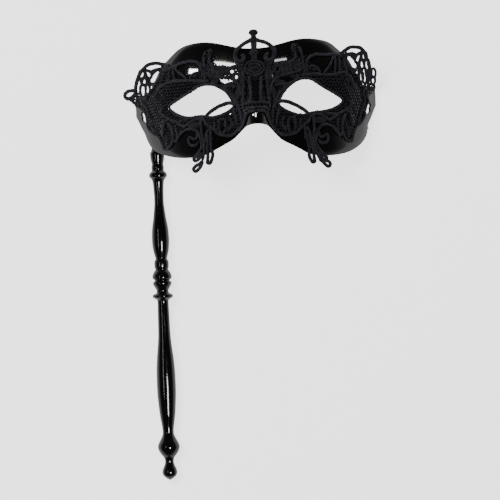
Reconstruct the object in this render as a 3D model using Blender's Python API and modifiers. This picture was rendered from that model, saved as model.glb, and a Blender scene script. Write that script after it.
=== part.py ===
"""Lace mask on a turned handle, lying face up on its temple rims and its handle's ball.

The mask's own plane is XY: +X is the right of the face-on picture, +Y the forehead, +Z out of
the face. Shell and lace are flat patterns, drawn in shares of the half width (u) and the height
(v), laid onto one curved form. All sizes are in metres.
"""

import math

import bpy
import numpy as np
from mathutils import Vector
from mathutils.geometry import delaunay_2d_cdt

# Mask form
HALF_WIDTH = 0.088
HEIGHT = 0.082
WRAP_DEPTH = 0.058
WRAP_POWER = 2.6
WRAP_REACH = 0.9943 * HALF_WIDTH
BROW_FALL = 0.006
BROW_FALL_AT = 0.549 * HEIGHT
CHEEK_FALL = 0.007
CHEEK_FALL_AT = 0.4634 * HEIGHT
CHEEK_FALL_EASE = 0.55
NOSE_RISE = 0.015
NOSE_TOP = 0.2927 * HEIGHT
NOSE_RUN = 0.4634 * HEIGHT
NOSE_HALF_WIDTH = 0.125 * HALF_WIDTH
SOCKET_SINK = 0.0045
SOCKET_AT = 0.4886 * HALF_WIDTH
SOCKET_HALF_WIDTH = 0.2727 * HALF_WIDTH
SOCKET_HALF_HEIGHT = 0.1707 * HEIGHT
SHELL_WALL = 0.0016
EYE_HEM = 0.0009

# Ribbon slots
SLOT_LENGTH = 0.0088
SLOT_WIDTH = 0.0022
SLOT_U = 0.931
SLOT_V = -0.055
SLOT_LEAN = 0.17
SLOT_SIDES = 12

# Lace
LACE_THICKNESS = 0.0011
LACE_CLEARANCE = 0.0005
LACE_SLIT = 0.0004
CORD_WIDTH = 0.002
PIERCING_LENGTH = 0.005
PIERCING_POINT = 0.35
PIERCING_SIDES = 10
WING_ROOT = (0.91, 0.13)
WING_LEAN = 0.78
WING_FROM_V = -0.02
WING_BLEND_V = 0.12
WING_LIFT = 1.25
WING_BEND = 0.003

# Handle
HANDLE_RUN = 0.2375
HANDLE_TANG = 0.036
TANG_RADIUS = 0.0038
TANG_SHOULDER = 0.006
TANG_DEPTH = 0.0113
BALL_RADIUS = 0.00745
BALL_SHARE = 0.9005
HANDLE_U = -0.835
HANDLE_SIDES = 16
HANDLE_START_V = -0.378

# Glue bed
GLUE_THICKNESS = 0.0034
GLUE_ACROSS = (-1.574, 0.81)
GLUE_ALONG = (0.20, 0.975)
JOIN_GAP = 0.0003

# Pattern resolution
OUTLINE_STEP = 0.0046
CORD_STEP = 0.0042
GRID_STEP = 0.0075
GRID_CLEAR = 0.42
GRID_SPAN_V = (-0.50, 0.55)
SLOPE_STEP = 0.0002
SHIFT_SOFTNESS = 1e-5
RIDGE_COLUMNS = (0.0, 0.20, 0.41, 0.64, 0.91, 1.27, 1.68)
RIDGE_SPAN_V = (-0.20, 0.30)

# Shell outline, one half, from the middle of the brow round the temple to the nose arch: u, v
SHELL_OUTLINE = (
    (0.0, 0.450), (0.09, 0.455), (0.15, 0.466), (0.22, 0.484), (0.30, 0.507), (0.37, 0.522),
    (0.44, 0.527), (0.51, 0.521), (0.57, 0.506), (0.62, 0.478), (0.665, 0.440), (0.72, 0.395),
    (0.77, 0.345), (0.813, 0.268), (0.860, 0.178), (0.915, 0.135), (0.985, 0.128), (1.005, 0.10),
    (1.005, 0.03), (0.992, -0.02), (0.970, -0.08), (0.948, -0.14), (0.918, -0.20), (0.900, -0.26),
    (0.882, -0.31), (0.848, -0.362), (0.80, -0.400), (0.74, -0.428), (0.67, -0.449),
    (0.60, -0.458), (0.53, -0.456), (0.46, -0.445), (0.40, -0.424), (0.34, -0.389),
    (0.27, -0.350), (0.20, -0.311), (0.15, -0.268), (0.12, -0.237), (0.09, -0.211),
    (0.05, -0.198), (0.0, -0.193),
)

# Eye opening in the lace, round from the outer corner: u, v
EYE_OUTLINE = (
    (0.703, 0.0), (0.655, 0.050), (0.55, 0.113), (0.46, 0.163), (0.40, 0.172), (0.33, 0.156),
    (0.25, 0.098), (0.205, 0.03), (0.186, -0.035), (0.25, -0.083), (0.35, -0.112),
    (0.44, -0.096), (0.56, -0.099), (0.65, -0.058),
)

# Outer edge of the lace, one half, from the crest round the temple to the nose: u, v
LACE_OUTLINE = (
    (0.0, 0.452), (0.10, 0.455), (0.12, 0.40), (0.10, 0.33), (0.14, 0.30), (0.20, 0.315),
    (0.28, 0.325), (0.332, 0.35), (0.345, 0.40), (0.322, 0.44), (0.35, 0.476), (0.388, 0.458),
    (0.405, 0.41), (0.428, 0.36), (0.452, 0.30), (0.46, 0.235), (0.52, 0.222), (0.61, 0.224),
    (0.655, 0.25), (0.675, 0.31), (0.69, 0.362), (0.755, 0.390), (0.80, 0.402), (0.87, 0.393),
    (0.915, 0.362), (0.955, 0.315), (0.985, 0.262), (0.998, 0.20), (1.02, 0.15), (1.035, 0.11),
    (1.012, 0.075), (0.985, 0.05), (0.952, 0.012), (0.92, -0.02), (0.904, -0.07),
    (0.902, -0.15), (0.865, -0.205), (0.805, -0.25), (0.785, -0.31), (0.77, -0.372),
    (0.715, -0.352), (0.675, -0.31), (0.64, -0.255), (0.585, -0.195), (0.53, -0.150),
    (0.48, -0.135), (0.425, -0.15), (0.40, -0.205), (0.35, -0.215), (0.31, -0.262),
    (0.25, -0.282), (0.20, -0.296), (0.15, -0.255), (0.118, -0.22), (0.10, -0.185),
    (0.088, -0.14), (0.065, -0.103), (0.0, -0.093),
)

# Zone of the crest node inside the lace, one half: u, v
CREST_ZONE = ((0.0, 0.70), (0.22, 0.60), (0.185, 0.345), (0.118, 0.285), (0.104, 0.10),
              (0.104, -0.08), (0.122, -0.30), (0.0, -0.30))

# Larger gaps of the temple wing, round each one: name, points u, v
WING_GAPS = (
    ("wing_top", ((0.885, 0.362), (0.861, 0.338), (0.834, 0.346), (0.803, 0.356),
                  (0.771, 0.354), (0.765, 0.367), (0.785, 0.382), (0.825, 0.377),
                  (0.856, 0.371))),
    ("wing_outer", ((0.928, 0.330), (0.913, 0.322), (0.917, 0.296), (0.936, 0.256),
                    (0.951, 0.213), (0.962, 0.172), (0.972, 0.160), (0.979, 0.178),
                    (0.977, 0.215), (0.966, 0.252), (0.947, 0.292))),
    ("wing_middle", ((0.785, 0.322), (0.782, 0.304), (0.804, 0.262), (0.830, 0.238),
                     (0.850, 0.240), (0.853, 0.257), (0.838, 0.284), (0.804, 0.316))),
    ("wing_lower", ((0.935, 0.200), (0.920, 0.217), (0.906, 0.208), (0.912, 0.168),
                    (0.927, 0.132), (0.938, 0.160))),
)

# Small piercings of the lace ground: name, u, v, length and width in shares of PIERCING_LENGTH,
# turn in degrees from +x
PIERCINGS = (
    ("wing_small", 0.868, 0.302, 0.88, 0.38, 62.0),
    ("wing_round", 0.915, 0.247, 0.78, 0.52, 80.0),
    ("wing_inner", 0.888, 0.178, 0.98, 0.40, 92.0),
    ("temple_slash", 0.783, 0.222, 1.00, 0.38, 60.0),
    ("temple_dot", 0.735, 0.255, 0.72, 0.32, 70.0),
    ("temple_pip", 0.715, 0.32, 0.92, 0.34, 100.0),
    ("leaf_left", 0.803, -0.185, 1.68, 0.32, 95.0),
    ("leaf_right", 0.722, -0.168, 1.28, 0.30, 78.0),
    ("leaf_foot", 0.765, -0.262, 0.84, 0.30, 20.0),
    ("brow_leaf", 0.225, 0.172, 1.60, 0.68, 4.0),
    ("brow_pip", 0.563, 0.150, 0.52, 0.30, 35.0),
    ("crest_drop", 0.187, 0.262, 0.84, 0.52, 95.0),
    ("crest_bead", 0.150, 0.212, 0.72, 0.48, 75.0),
    ("knob_slot", 0.382, 0.352, 0.80, 0.38, 100.0),
    ("comb_one", 0.346, 0.302, 0.64, 0.36, 120.0),
    ("comb_two", 0.300, 0.276, 0.60, 0.36, 100.0),
    ("comb_three", 0.250, 0.268, 0.60, 0.36, 90.0),
    ("comb_four", 0.420, 0.270, 0.84, 0.32, 95.0),
    ("cheek_slot_one", 0.355, -0.165, 0.88, 0.30, 85.0),
    ("cheek_slot_two", 0.300, -0.195, 1.28, 0.30, 92.0),
    ("cheek_slot_three", 0.245, -0.175, 1.28, 0.30, 92.0),
    ("cheek_slot_four", 0.195, -0.225, 1.00, 0.30, 100.0),
    ("band_pip_one", 0.52, -0.118, 0.72, 0.26, 12.0),
    ("band_pip_two", 0.60, -0.148, 0.72, 0.28, 35.0),
    ("band_pip_three", 0.655, -0.205, 0.80, 0.30, 60.0),
)

# Cords of the lace: name, width in shares of CORD_WIDTH, closed, points u, v
LACE_CORDS = (
    ("brow_arch", 1.1, False, ((0.425, 0.30), (0.44, 0.335), (0.47, 0.362), (0.53, 0.380),
                               (0.60, 0.370), (0.65, 0.350), (0.70, 0.335))),
    ("brow_rib", 0.9, False, ((0.650, 0.350), (0.628, 0.305), (0.618, 0.260),
                              (0.615, 0.215))),
    ("brow_curl", 0.9, False, ((0.515, 0.21), (0.51, 0.25), (0.475, 0.275), (0.44, 0.26))),
    ("side_leaf", 0.6, True, ((0.995, 0.178), (1.035, 0.184), (1.072, 0.172), (1.089, 0.142),
                              (1.068, 0.116), (1.030, 0.122), (1.000, 0.150))),
    ("scroll_feed", 0.9, False, ((0.665, -0.29), (0.635, -0.255), (0.59, -0.212),
                                 (0.535, -0.203), (0.485, -0.235), (0.457, -0.295),
                                 (0.462, -0.350), (0.49, -0.385))),
    ("scroll_ring", 0.85, True, ((0.565, -0.305), (0.54, -0.265), (0.50, -0.262),
                                (0.468, -0.30), (0.485, -0.345), (0.54, -0.348))),
    ("stem", 1.1, False, ((0.455, -0.13), (0.452, -0.22), (0.437, -0.31), (0.438, -0.39),
                          (0.435, -0.45), (0.452, -0.505))),
    ("stem_inner", 1.1, False, ((0.375, -0.19), (0.385, -0.27), (0.395, -0.34),
                                (0.40, -0.41))),
    ("stem_tie", 1.2, False, ((0.385, -0.325), (0.415, -0.345), (0.45, -0.33))),
    ("loop_low", 0.65, True, ((0.448, -0.505), (0.470, -0.507), (0.505, -0.527),
                             (0.524, -0.552), (0.505, -0.567), (0.470, -0.538))),
    ("loop_side", 0.65, True, ((0.440, -0.415), (0.480, -0.430), (0.522, -0.455),
                              (0.520, -0.482), (0.488, -0.478), (0.455, -0.450))),
    ("loop_nose", 0.65, True, ((0.408, -0.400), (0.408, -0.460), (0.414, -0.503),
                              (0.395, -0.513), (0.374, -0.478), (0.366, -0.425),
                              (0.385, -0.395))),
    ("eye_thread", 0.6, False, ((0.175, -0.010), (0.23, -0.006), (0.30, -0.028),
                                (0.36, -0.062), (0.41, -0.105))),
    ("crown_arch", 0.8, False, ((0.0, 0.540), (0.05, 0.527), (0.10, 0.500), (0.142, 0.466),
                                (0.158, 0.410), (0.148, 0.348), (0.105, 0.330))),
    ("finial", 1.6, False, ((0.0, 0.43), (0.0, 0.50), (0.0, 0.60))),
    ("finial_knob", 1.8, False, ((-0.024, 0.596), (0.024, 0.596))),
)

# The right half was laid a little higher and its leaf folded in: u, v on the left, shift u, v
RIGHT_SHIFT = (
    (0.825, 0.36, -0.007, 0.068), (0.955, 0.245, -0.037, 0.090), (0.822, 0.283, -0.022, 0.056),
    (0.922, 0.17, -0.020, 0.048), (0.888, 0.178, -0.011, 0.030), (1.088, 0.142, -0.091, 0.093),
    (1.035, 0.184, -0.052, 0.088),
    (1.0, 0.17, -0.045, 0.048), (1.035, 0.11, -0.037, 0.005), (0.985, 0.055, -0.050, 0.006),
    (0.348, 0.44, -0.033, 0.018), (0.53, 0.378, 0.0, 0.018), (0.51, -0.30, 0.015, -0.022),
    (0.765, -0.19, 0.010, 0.020), (0.39, -0.465, 0.045, -0.025), (0.50, -0.46, 0.035, -0.035),
    (0.50, -0.54, 0.057, 0.0), (0.45, 0.17, 0.0, 0.008), (0.36, -0.115, 0.015, -0.015),
    (0.70, 0.0, 0.0, 0.0), (0.20, 0.05, 0.0, 0.0), (0.10, 0.20, 0.0, 0.0), (0.0, 0.0, 0.0, 0.0),
    (0.905, -0.15, -0.008, 0.02), (0.60, 0.20, 0.0, 0.0), (0.20, -0.28, 0.0, -0.012),
    (0.10, 0.50, 0.022, 0.0), (0.0, 0.5, 0.0, 0.0), (0.0, 0.596, 0.0, 0.0),
    (0.0, 0.545, 0.0, 0.0), (0.69, 0.36, 0.0, 0.05), (0.905, 0.366, -0.017, 0.077),
    (0.935, 0.335, -0.023, 0.075), (0.962, 0.30, -0.032, 0.066), (0.985, 0.24, -0.038, 0.064),
    (0.10, -0.18, 0.0, 0.0), (0.905, -0.02, 0.0, 0.0),
)

# Turned outline of the handle below the shell's edge: share of the run, share of the ball radius
HANDLE_TURNING = (
    (0.000, 0.620), (0.014, 0.610), (0.030, 0.530), (0.041, 0.530), (0.051, 0.585),
    (0.060, 0.700), (0.069, 0.800), (0.078, 0.650), (0.087, 0.490), (0.098, 0.445),
    (0.118, 0.405), (0.139, 0.390), (0.161, 0.415), (0.198, 0.555), (0.232, 0.725),
    (0.262, 0.780), (0.282, 0.755), (0.300, 0.680), (0.317, 0.560), (0.326, 0.510),
    (0.335, 0.650), (0.354, 0.645), (0.363, 0.770), (0.372, 0.860), (0.382, 0.810),
    (0.394, 0.700), (0.400, 0.830), (0.409, 0.730), (0.418, 0.600), (0.427, 0.640),
    (0.434, 0.910), (0.4395, 0.910), (0.446, 0.635), (0.455, 0.475), (0.490, 0.490),
    (0.556, 0.535), (0.593, 0.630), (0.629, 0.755), (0.666, 0.835), (0.703, 0.862),
    (0.740, 0.845), (0.776, 0.765), (0.804, 0.680), (0.8315, 0.545), (0.850, 0.475),
    (0.861, 0.485), (0.870, 0.590), (0.879, 0.740), (0.888, 0.895), (0.896, 0.985),
    (BALL_SHARE, 1.000), (0.905, 0.985), (0.914, 0.875), (0.923, 0.695), (0.9325, 0.450),
    (0.942, 0.360), (0.951, 0.370), (0.960, 0.480), (0.969, 0.605), (0.9785, 0.650),
    (0.988, 0.565), (0.997, 0.240),
)


def ease(t):
    """A smooth step from 0 to 1 as t goes from 0 to 1."""
    t = np.clip(t, 0.0, 1.0)
    return t * t * (3.0 - 2.0 * t)


def form_height(x, y):
    """Height of the shell's outer face: wrap round the head, falls, nose and eye sockets."""
    x = np.abs(np.asarray(x, float))
    y = np.asarray(y, float)
    wrap = WRAP_DEPTH * (1.0 - (x / WRAP_REACH) ** WRAP_POWER)
    brow = BROW_FALL * (np.maximum(y, 0.0) / BROW_FALL_AT) ** 2
    cheek = CHEEK_FALL * (np.maximum(-y, 0.0) / CHEEK_FALL_AT) ** 2
    cheek = cheek * (1.0 - CHEEK_FALL_EASE * (x / WRAP_REACH) ** 2)
    nose = NOSE_RISE * ease((NOSE_TOP - y) / NOSE_RUN) * np.exp(-(x / NOSE_HALF_WIDTH) ** 2)
    socket = SOCKET_SINK * np.exp(-((x - SOCKET_AT) / SOCKET_HALF_WIDTH) ** 2
                                  - (y / SOCKET_HALF_HEIGHT) ** 2)
    return wrap - brow - cheek + nose - socket


def lace_height(x, y):
    """The form, with the lace wings standing off it beyond the shell's upper temple edge."""
    v = np.asarray(y, float) / HEIGHT
    root = (WING_ROOT[0] - WING_LEAN * np.maximum(v - WING_ROOT[1], 0.0)) * HALF_WIDTH
    beyond = np.maximum(np.abs(x) - root, 0.0)
    above = ease((v - WING_FROM_V) / WING_BLEND_V)
    return form_height(x, y) + above * WING_LIFT * beyond ** 2 / (beyond + WING_BEND)


def normal_of(height, x, y):
    """Unit normals of a height field, by central differences."""
    d = SLOPE_STEP
    dx = (height(x + d, y) - height(x - d, y)) / (2 * d)
    dy = (height(x, y + d) - height(x, y - d)) / (2 * d)
    n = np.stack([-dx, -dy, np.ones_like(dx)], axis=1)
    return n / np.linalg.norm(n, axis=1)[:, None]


def lay_on(height, flat, lift):
    """Carry flat pattern points to a surface lift above the height field, keeping their plan."""
    x, y = flat[:, 0], flat[:, 1]
    n = normal_of(height, x, y)
    x = x - n[:, 0] * lift
    y = y - n[:, 1] * lift
    n = normal_of(height, x, y)
    return np.stack([x, y, height(x, y)], axis=1) + n * lift


def place(points, side):
    """Shares of the left half pattern to metres on the named side (-1 left, 1 right)."""
    uv = np.array(points, float)[:, :2]
    if side > 0:
        table = np.array(RIGHT_SHIFT)
        d2 = ((uv[:, None, :] - table[None, :, :2]) ** 2).sum(axis=2)
        weight = 1.0 / (d2 + SHIFT_SOFTNESS) ** 2
        weight /= weight.sum(axis=1)[:, None]
        uv = uv + weight @ table[:, 2:]
    return uv * (side * HALF_WIDTH, HEIGHT)


def smooth_line(points, step, closed=False):
    """Points about a step apart on a Catmull-Rom curve through the given ones."""
    p = np.array(points, float)
    if closed:
        p = np.vstack([p[-1:], p, p[:2]])
    else:
        p = np.vstack([2 * p[0] - p[1], p, 2 * p[-1] - p[-2]])
    out = []
    for a, b, c, d in zip(p[:-3], p[1:-2], p[2:-1], p[3:]):
        count = max(1, round(float(np.linalg.norm(c - b)) / step))
        t = (np.arange(count) / count)[:, None]
        out.append(0.5 * (2 * b + (c - a) * t + (2 * a - 5 * b + 4 * c - d) * t ** 2
                          + (3 * b - a - 3 * c + d) * t ** 3))
    if not closed:
        out.append(p[-2:-1])
    return np.vstack(out)


def band(line, width, closed=False):
    """Closed outline pieces of a cord of one width along a line: one polygon, or quads round."""
    if closed:
        step = np.roll(line, -1, axis=0) - np.roll(line, 1, axis=0)
    else:
        step = np.gradient(line, axis=0)
    step /= np.linalg.norm(step, axis=1)[:, None]
    side = np.stack([-step[:, 1], step[:, 0]], axis=1) * width / 2
    left, right = line + side, line - side
    if not closed:
        return [np.vstack([left, right[::-1]])]
    n = len(line)
    half = n // 2
    pieces = []
    for run in (list(range(0, half + 1)), list(range(half, n)) + [0]):
        pieces.append(np.vstack([left[run], right[run][::-1]]))
    return pieces


def piercing(u, v, length, width, turn, side):
    """Outline of one small piercing: a pointed oval about its centre."""
    t = np.arange(PIERCING_SIDES) / PIERCING_SIDES * 2 * math.pi
    a = np.cos(t) * length * PIERCING_LENGTH / 2
    b = np.sin(t) * np.abs(np.sin(t)) ** PIERCING_POINT * width * PIERCING_LENGTH / 2
    angle = math.radians(turn)
    centre = place([(u, v)], side)[0]
    x = a * math.cos(angle) - b * math.sin(angle)
    y = a * math.sin(angle) + b * math.cos(angle)
    return np.stack([centre[0] - side * x, centre[1] + y], axis=1)


def grown(loop, by):
    """A closed loop moved outwards by a distance."""
    step = np.roll(loop, -1, axis=0) - np.roll(loop, 1, axis=0)
    step /= np.linalg.norm(step, axis=1)[:, None]
    out = np.stack([step[:, 1], -step[:, 0]], axis=1)
    area = np.sum(loop[:, 0] * np.roll(loop[:, 1], -1) - np.roll(loop[:, 0], -1) * loop[:, 1])
    return loop + out * by * (1.0 if area > 0 else -1.0)


def both_halves(half):
    """A closed outline from one half that starts and ends at the middle."""
    half = np.asarray(half)
    mirrored = half[::-1] * (-1.0, 1.0)
    return np.vstack([half, mirrored[1:-1]])


def ridge_edges():
    """Fold lines down the nose, so that shell and lace bend along the same columns."""
    lines = []
    for column in RIDGE_COLUMNS:
        for x in {column, -column}:
            rows = np.linspace(*RIDGE_SPAN_V, len(RIDGE_COLUMNS))
            lines.append(np.array([(x * NOSE_HALF_WIDTH, v * HEIGHT) for v in rows]))
    return lines


def grid_points(u_limit, loops):
    """Inner points of the pattern on an even grid, kept clear of the outlines."""
    xs = np.arange(-u_limit * HALF_WIDTH, u_limit * HALF_WIDTH, GRID_STEP)
    ys = np.arange(GRID_SPAN_V[0] * HEIGHT, GRID_SPAN_V[1] * HEIGHT, GRID_STEP)
    grid = np.stack(np.meshgrid(xs, ys), axis=2).reshape(-1, 2)
    grid = grid[np.abs(grid[:, 0]) > RIDGE_COLUMNS[-1] * NOSE_HALF_WIDTH + GRID_STEP / 2]
    rim = np.vstack(loops)
    near = np.min(((grid[:, None, :] - rim[None, :, :]) ** 2).sum(axis=2), axis=1)
    return grid[near > (GRID_STEP * GRID_CLEAR) ** 2]


def cut_pattern(loops, lines, points):
    """Triangles of a flat pattern, each with the set of loops that it lies in."""
    coords, faces, edges = [], [], []
    for loop in loops:
        area = np.sum(loop[:, 0] * np.roll(loop[:, 1], -1) - np.roll(loop[:, 0], -1) * loop[:, 1])
        ring = loop if area > 0 else loop[::-1]
        faces.append(list(range(len(coords), len(coords) + len(ring))))
        coords.extend(ring.tolist())
    for line in lines:
        start = len(coords)
        coords.extend(line.tolist())
        edges.extend((start + i, start + i + 1) for i in range(len(line) - 1))
    coords.extend(points.tolist())
    result = delaunay_2d_cdt([Vector(c) for c in coords], edges, faces, 1, 1e-5)
    verts = np.array([tuple(c) for c in result[0]])
    return verts, result[2], [set(ids) for ids in result[5]]


def new_object(name, mesh, material):
    """Link a mesh to the part's collection under a plain name."""
    obj = bpy.data.objects.new(name, mesh)
    obj.data.materials.append(material)
    PART.objects.link(obj)
    return obj


def sheet_object(name, verts, triangles, height, lift, wall, material):
    """A laid pattern as an open surface, thickened outwards (wall > 0) or inwards (wall < 0)."""
    used = sorted({i for tri in triangles for i in tri})
    index = {old: new for new, old in enumerate(used)}
    base = lay_on(height, verts[used], lift)
    mesh = bpy.data.meshes.new(name)
    mesh.from_pydata(base.tolist(), [], [[index[i] for i in tri] for tri in triangles])
    obj = new_object(name, mesh, material)
    solidify = obj.modifiers.new("wall", "SOLIDIFY")
    solidify.thickness = abs(wall)
    solidify.offset = 1.0 if wall > 0 else -1.0
    solidify.use_even_offset = True
    return obj


def principled(name, colour, roughness, metallic=0.0):
    """A Principled material."""
    material = bpy.data.materials.new(name)
    material.use_nodes = True
    shader = material.node_tree.nodes["Principled BSDF"]
    shader.inputs["Base Color"].default_value = (*colour, 1.0)
    shader.inputs["Roughness"].default_value = roughness
    shader.inputs["Metallic"].default_value = metallic
    return material


def eye_loops(grow):
    """The two eye openings, left then right."""
    loops = []
    for side in (-1, 1):
        loop = smooth_line(place(EYE_OUTLINE, side), OUTLINE_STEP, closed=True)
        loops.append(grown(loop, grow))
    return loops


def slot_loops():
    """Ribbon slots: long rounded holes that lean with the temple edge."""
    t = np.arange(SLOT_SIDES) / SLOT_SIDES * 2 * math.pi
    ends = np.sign(np.round(np.sin(t), 6)) * (SLOT_LENGTH - SLOT_WIDTH) / 2
    along = np.sin(t) * SLOT_WIDTH / 2 + ends
    across = np.cos(t) * SLOT_WIDTH / 2
    x = SLOT_U * HALF_WIDTH + across + SLOT_LEAN * along
    y = SLOT_V * HEIGHT + along
    return [np.stack([side * x, y], axis=1) for side in (-1, 1)]


def table_cutter():
    """A block below the table, which cuts the temple rims flat."""
    bpy.ops.mesh.primitive_cube_add(size=1.0, location=(0.0, 0.0, -WRAP_DEPTH / 2))
    block = bpy.context.object
    block.name = "table_cut"
    block.scale = (4 * HALF_WIDTH, 4 * HEIGHT, WRAP_DEPTH)
    block.hide_render = True
    block.display_type = "WIRE"
    for owner in block.users_collection:
        owner.objects.unlink(block)
    CUTTERS.objects.link(block)
    return block


def build_shell():
    """The moulded shell with its eye openings, slots and flat temple rims."""
    outline = both_halves(smooth_line(np.array(SHELL_OUTLINE) * (HALF_WIDTH, HEIGHT),
                                      OUTLINE_STEP))
    holes = eye_loops(EYE_HEM) + slot_loops()
    points = grid_points(1.0, [outline] + holes)
    verts, triangles, inside = cut_pattern([outline] + holes, ridge_edges(), points)
    kept = [tri for tri, ids in zip(triangles, inside) if ids == {0}]
    shell = sheet_object("mask_shell", verts, kept, form_height, 0.0, -SHELL_WALL, GLOSS)
    cut = shell.modifiers.new("table", "BOOLEAN")
    cut.object = table_cutter()
    return shell


def build_lace():
    """The lace in three pieces: both sides and the crest, cut from one pattern."""
    ground, gaps, cords = [], [], []
    halves = []
    for side in (-1, 1):
        halves.append(smooth_line(place(LACE_OUTLINE, side), CORD_STEP))
    ground.append(np.vstack([halves[1], halves[0][::-1][1:-1]]))
    gaps.extend(eye_loops(0.0))
    for side in (-1, 1):
        for _, points in WING_GAPS:
            gaps.append(smooth_line(place(points, side), CORD_STEP, closed=True))
        for _, u, v, length, width, turn in PIERCINGS:
            gaps.append(piercing(u, v, length, width, turn, side))
        for _, width, closed, points in LACE_CORDS:
            line = smooth_line(place(points, side), CORD_STEP, closed)
            cords.extend(band(line, width * CORD_WIDTH, closed))
    zone_half = np.array(CREST_ZONE) * (HALF_WIDTH, HEIGHT)
    slit_half = zone_half + (np.abs(zone_half[:, :1]) > 0) * (LACE_SLIT, 0.0)
    zones = [both_halves(zone_half), both_halves(slit_half)]
    loops = ground + gaps + cords + zones
    gap_ids = set(range(1, 1 + len(gaps)))
    cord_ids = set(range(1 + len(gaps), 1 + len(gaps) + len(cords)))
    crest_id, slit_id = len(loops) - 2, len(loops) - 1
    points = grid_points(1.0, loops)
    verts, triangles, inside = cut_pattern(loops, ridge_edges(), points)
    pieces = {"lace_left": [], "lace_right": [], "lace_crest": []}
    for tri, ids in zip(triangles, inside):
        laid = bool(ids & cord_ids) or (0 in ids and not ids & gap_ids)
        if not laid:
            continue
        if crest_id in ids:
            pieces["lace_crest"].append(tri)
        elif slit_id not in ids:
            left = sum(verts[i][0] for i in tri) < 0
            pieces["lace_left" if left else "lace_right"].append(tri)
    for name, kept in pieces.items():
        sheet_object(name, verts, kept, lace_height, LACE_CLEARANCE, LACE_THICKNESS, LACE)


def handle_axis(y):
    """Height of the handle's axis above the table: from the shell's edge down to the ball."""
    start = HANDLE_START_V * HEIGHT
    edge_height = float(form_height(HANDLE_U * HALF_WIDTH, start)) - TANG_DEPTH
    share = (start - y) / (BALL_SHARE * HANDLE_RUN)
    return edge_height + (BALL_RADIUS - edge_height) * share


def turned(name, profile, steps, material):
    """A solid turned about its own Z from a profile of radius and height, top to bottom."""
    mesh = bpy.data.meshes.new(name)
    edges = [(i, i + 1) for i in range(len(profile) - 1)]
    mesh.from_pydata([(r, 0.0, h) for r, h in profile], edges, [])
    obj = new_object(name, mesh, material)
    screw = obj.modifiers.new("turn", "SCREW")
    screw.steps = steps
    screw.render_steps = steps
    screw.use_merge_vertices = True
    screw.merge_threshold = 0.00001
    return obj


def lay_along_handle(obj):
    """Turn a turned solid's top end towards +Y and set its origin on the handle's axis."""
    start = HANDLE_START_V * HEIGHT
    tilt = math.atan2(handle_axis(start - HANDLE_RUN) - handle_axis(start), HANDLE_RUN)
    obj.rotation_euler = (-math.pi / 2 - tilt, 0.0, 0.0)
    obj.location = (HANDLE_U * HALF_WIDTH, start, handle_axis(start))


def build_handle():
    """The turned handle with its hidden tang."""
    profile = [(0.0, HANDLE_TANG), (TANG_RADIUS, HANDLE_TANG), (TANG_RADIUS, TANG_SHOULDER)]
    for share, radius in HANDLE_TURNING:
        profile.append((radius * BALL_RADIUS, -share * HANDLE_RUN))
    profile.append((0.0, -HANDLE_RUN))
    handle = turned("handle", profile, HANDLE_SIDES, GLOSS_STICK)
    lay_along_handle(handle)
    return handle


def build_glue_bed():
    """A plain bed of glue between the shell's inside and the tang."""
    xs = HANDLE_U * HALF_WIDTH + np.linspace(*GLUE_ACROSS, 4) * TANG_RADIUS
    ys = HANDLE_START_V * HEIGHT + np.linspace(*GLUE_ALONG, 6) * HANDLE_TANG
    flat = np.stack(np.meshgrid(xs, ys), axis=2).reshape(-1, 2)
    base = lay_on(form_height, flat, -(SHELL_WALL + JOIN_GAP))
    faces = []
    for j in range(len(ys) - 1):
        for i in range(len(xs) - 1):
            a = j * len(xs) + i
            faces.append((a, a + 1, a + 1 + len(xs), a + len(xs)))
    mesh = bpy.data.meshes.new("glue_bed")
    mesh.from_pydata(base.tolist(), [], faces)
    bed = new_object("glue_bed", mesh, GLUE)
    solidify = bed.modifiers.new("wall", "SOLIDIFY")
    solidify.thickness = GLUE_THICKNESS
    solidify.offset = -1.0
    reach = TANG_RADIUS + JOIN_GAP
    rod = [(0.0, 2 * HANDLE_TANG), (reach, 2 * HANDLE_TANG), (reach, -HANDLE_TANG),
           (0.0, -HANDLE_TANG)]
    cutter = turned("tang_cut", rod, 24, GLUE)
    lay_along_handle(cutter)
    cutter.hide_render = True
    cutter.display_type = "WIRE"
    PART.objects.unlink(cutter)
    CUTTERS.objects.link(cutter)
    trough = bed.modifiers.new("trough", "BOOLEAN")
    trough.object = cutter
    return bed


def centre_on_table():
    """Move all pieces so that the middle of the part's box stands over the origin."""
    bpy.context.view_layer.update()
    graph = bpy.context.evaluated_depsgraph_get()
    low = np.full(2, np.inf)
    high = -low
    for obj in PART.objects:
        mesh = obj.evaluated_get(graph).to_mesh()
        xy = np.array([tuple((obj.matrix_world @ v.co).xy) for v in mesh.vertices])
        low = np.minimum(low, xy.min(axis=0))
        high = np.maximum(high, xy.max(axis=0))
    middle = (low + high) / 2
    for obj in list(PART.objects) + list(CUTTERS.objects):
        obj.location.x -= middle[0]
        obj.location.y -= middle[1]


for old in list(bpy.data.objects):
    bpy.data.objects.remove(old, do_unlink=True)
PART = bpy.data.collections.new("lace_mask")
CUTTERS = bpy.data.collections.new("cutters")
for collection in (PART, CUTTERS):
    bpy.context.scene.collection.children.link(collection)
GLOSS = principled("black_gloss_plastic", (0.012, 0.012, 0.013), 0.12)
GLOSS_STICK = principled("black_gloss_stick", (0.010, 0.010, 0.011), 0.15)
LACE = principled("corded_lace", (0.030, 0.028, 0.033), 0.85)
GLUE = principled("clear_glue", (0.55, 0.52, 0.44), 0.35)
build_shell()
build_lace()
build_handle()
build_glue_bed()
centre_on_table()
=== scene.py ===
"""A corded lace mask on a turned handle, lying face up on a pale table, seen from straight above.

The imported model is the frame. The shell, the lace, the handle and the glue are modelled here as
fine surfaces on the same curved form. Shell and lace are flat patterns, drawn in shares of the
half width (u, without sign) and the height (v), and laid onto the form. Sizes are in metres.
"""

import math

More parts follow.
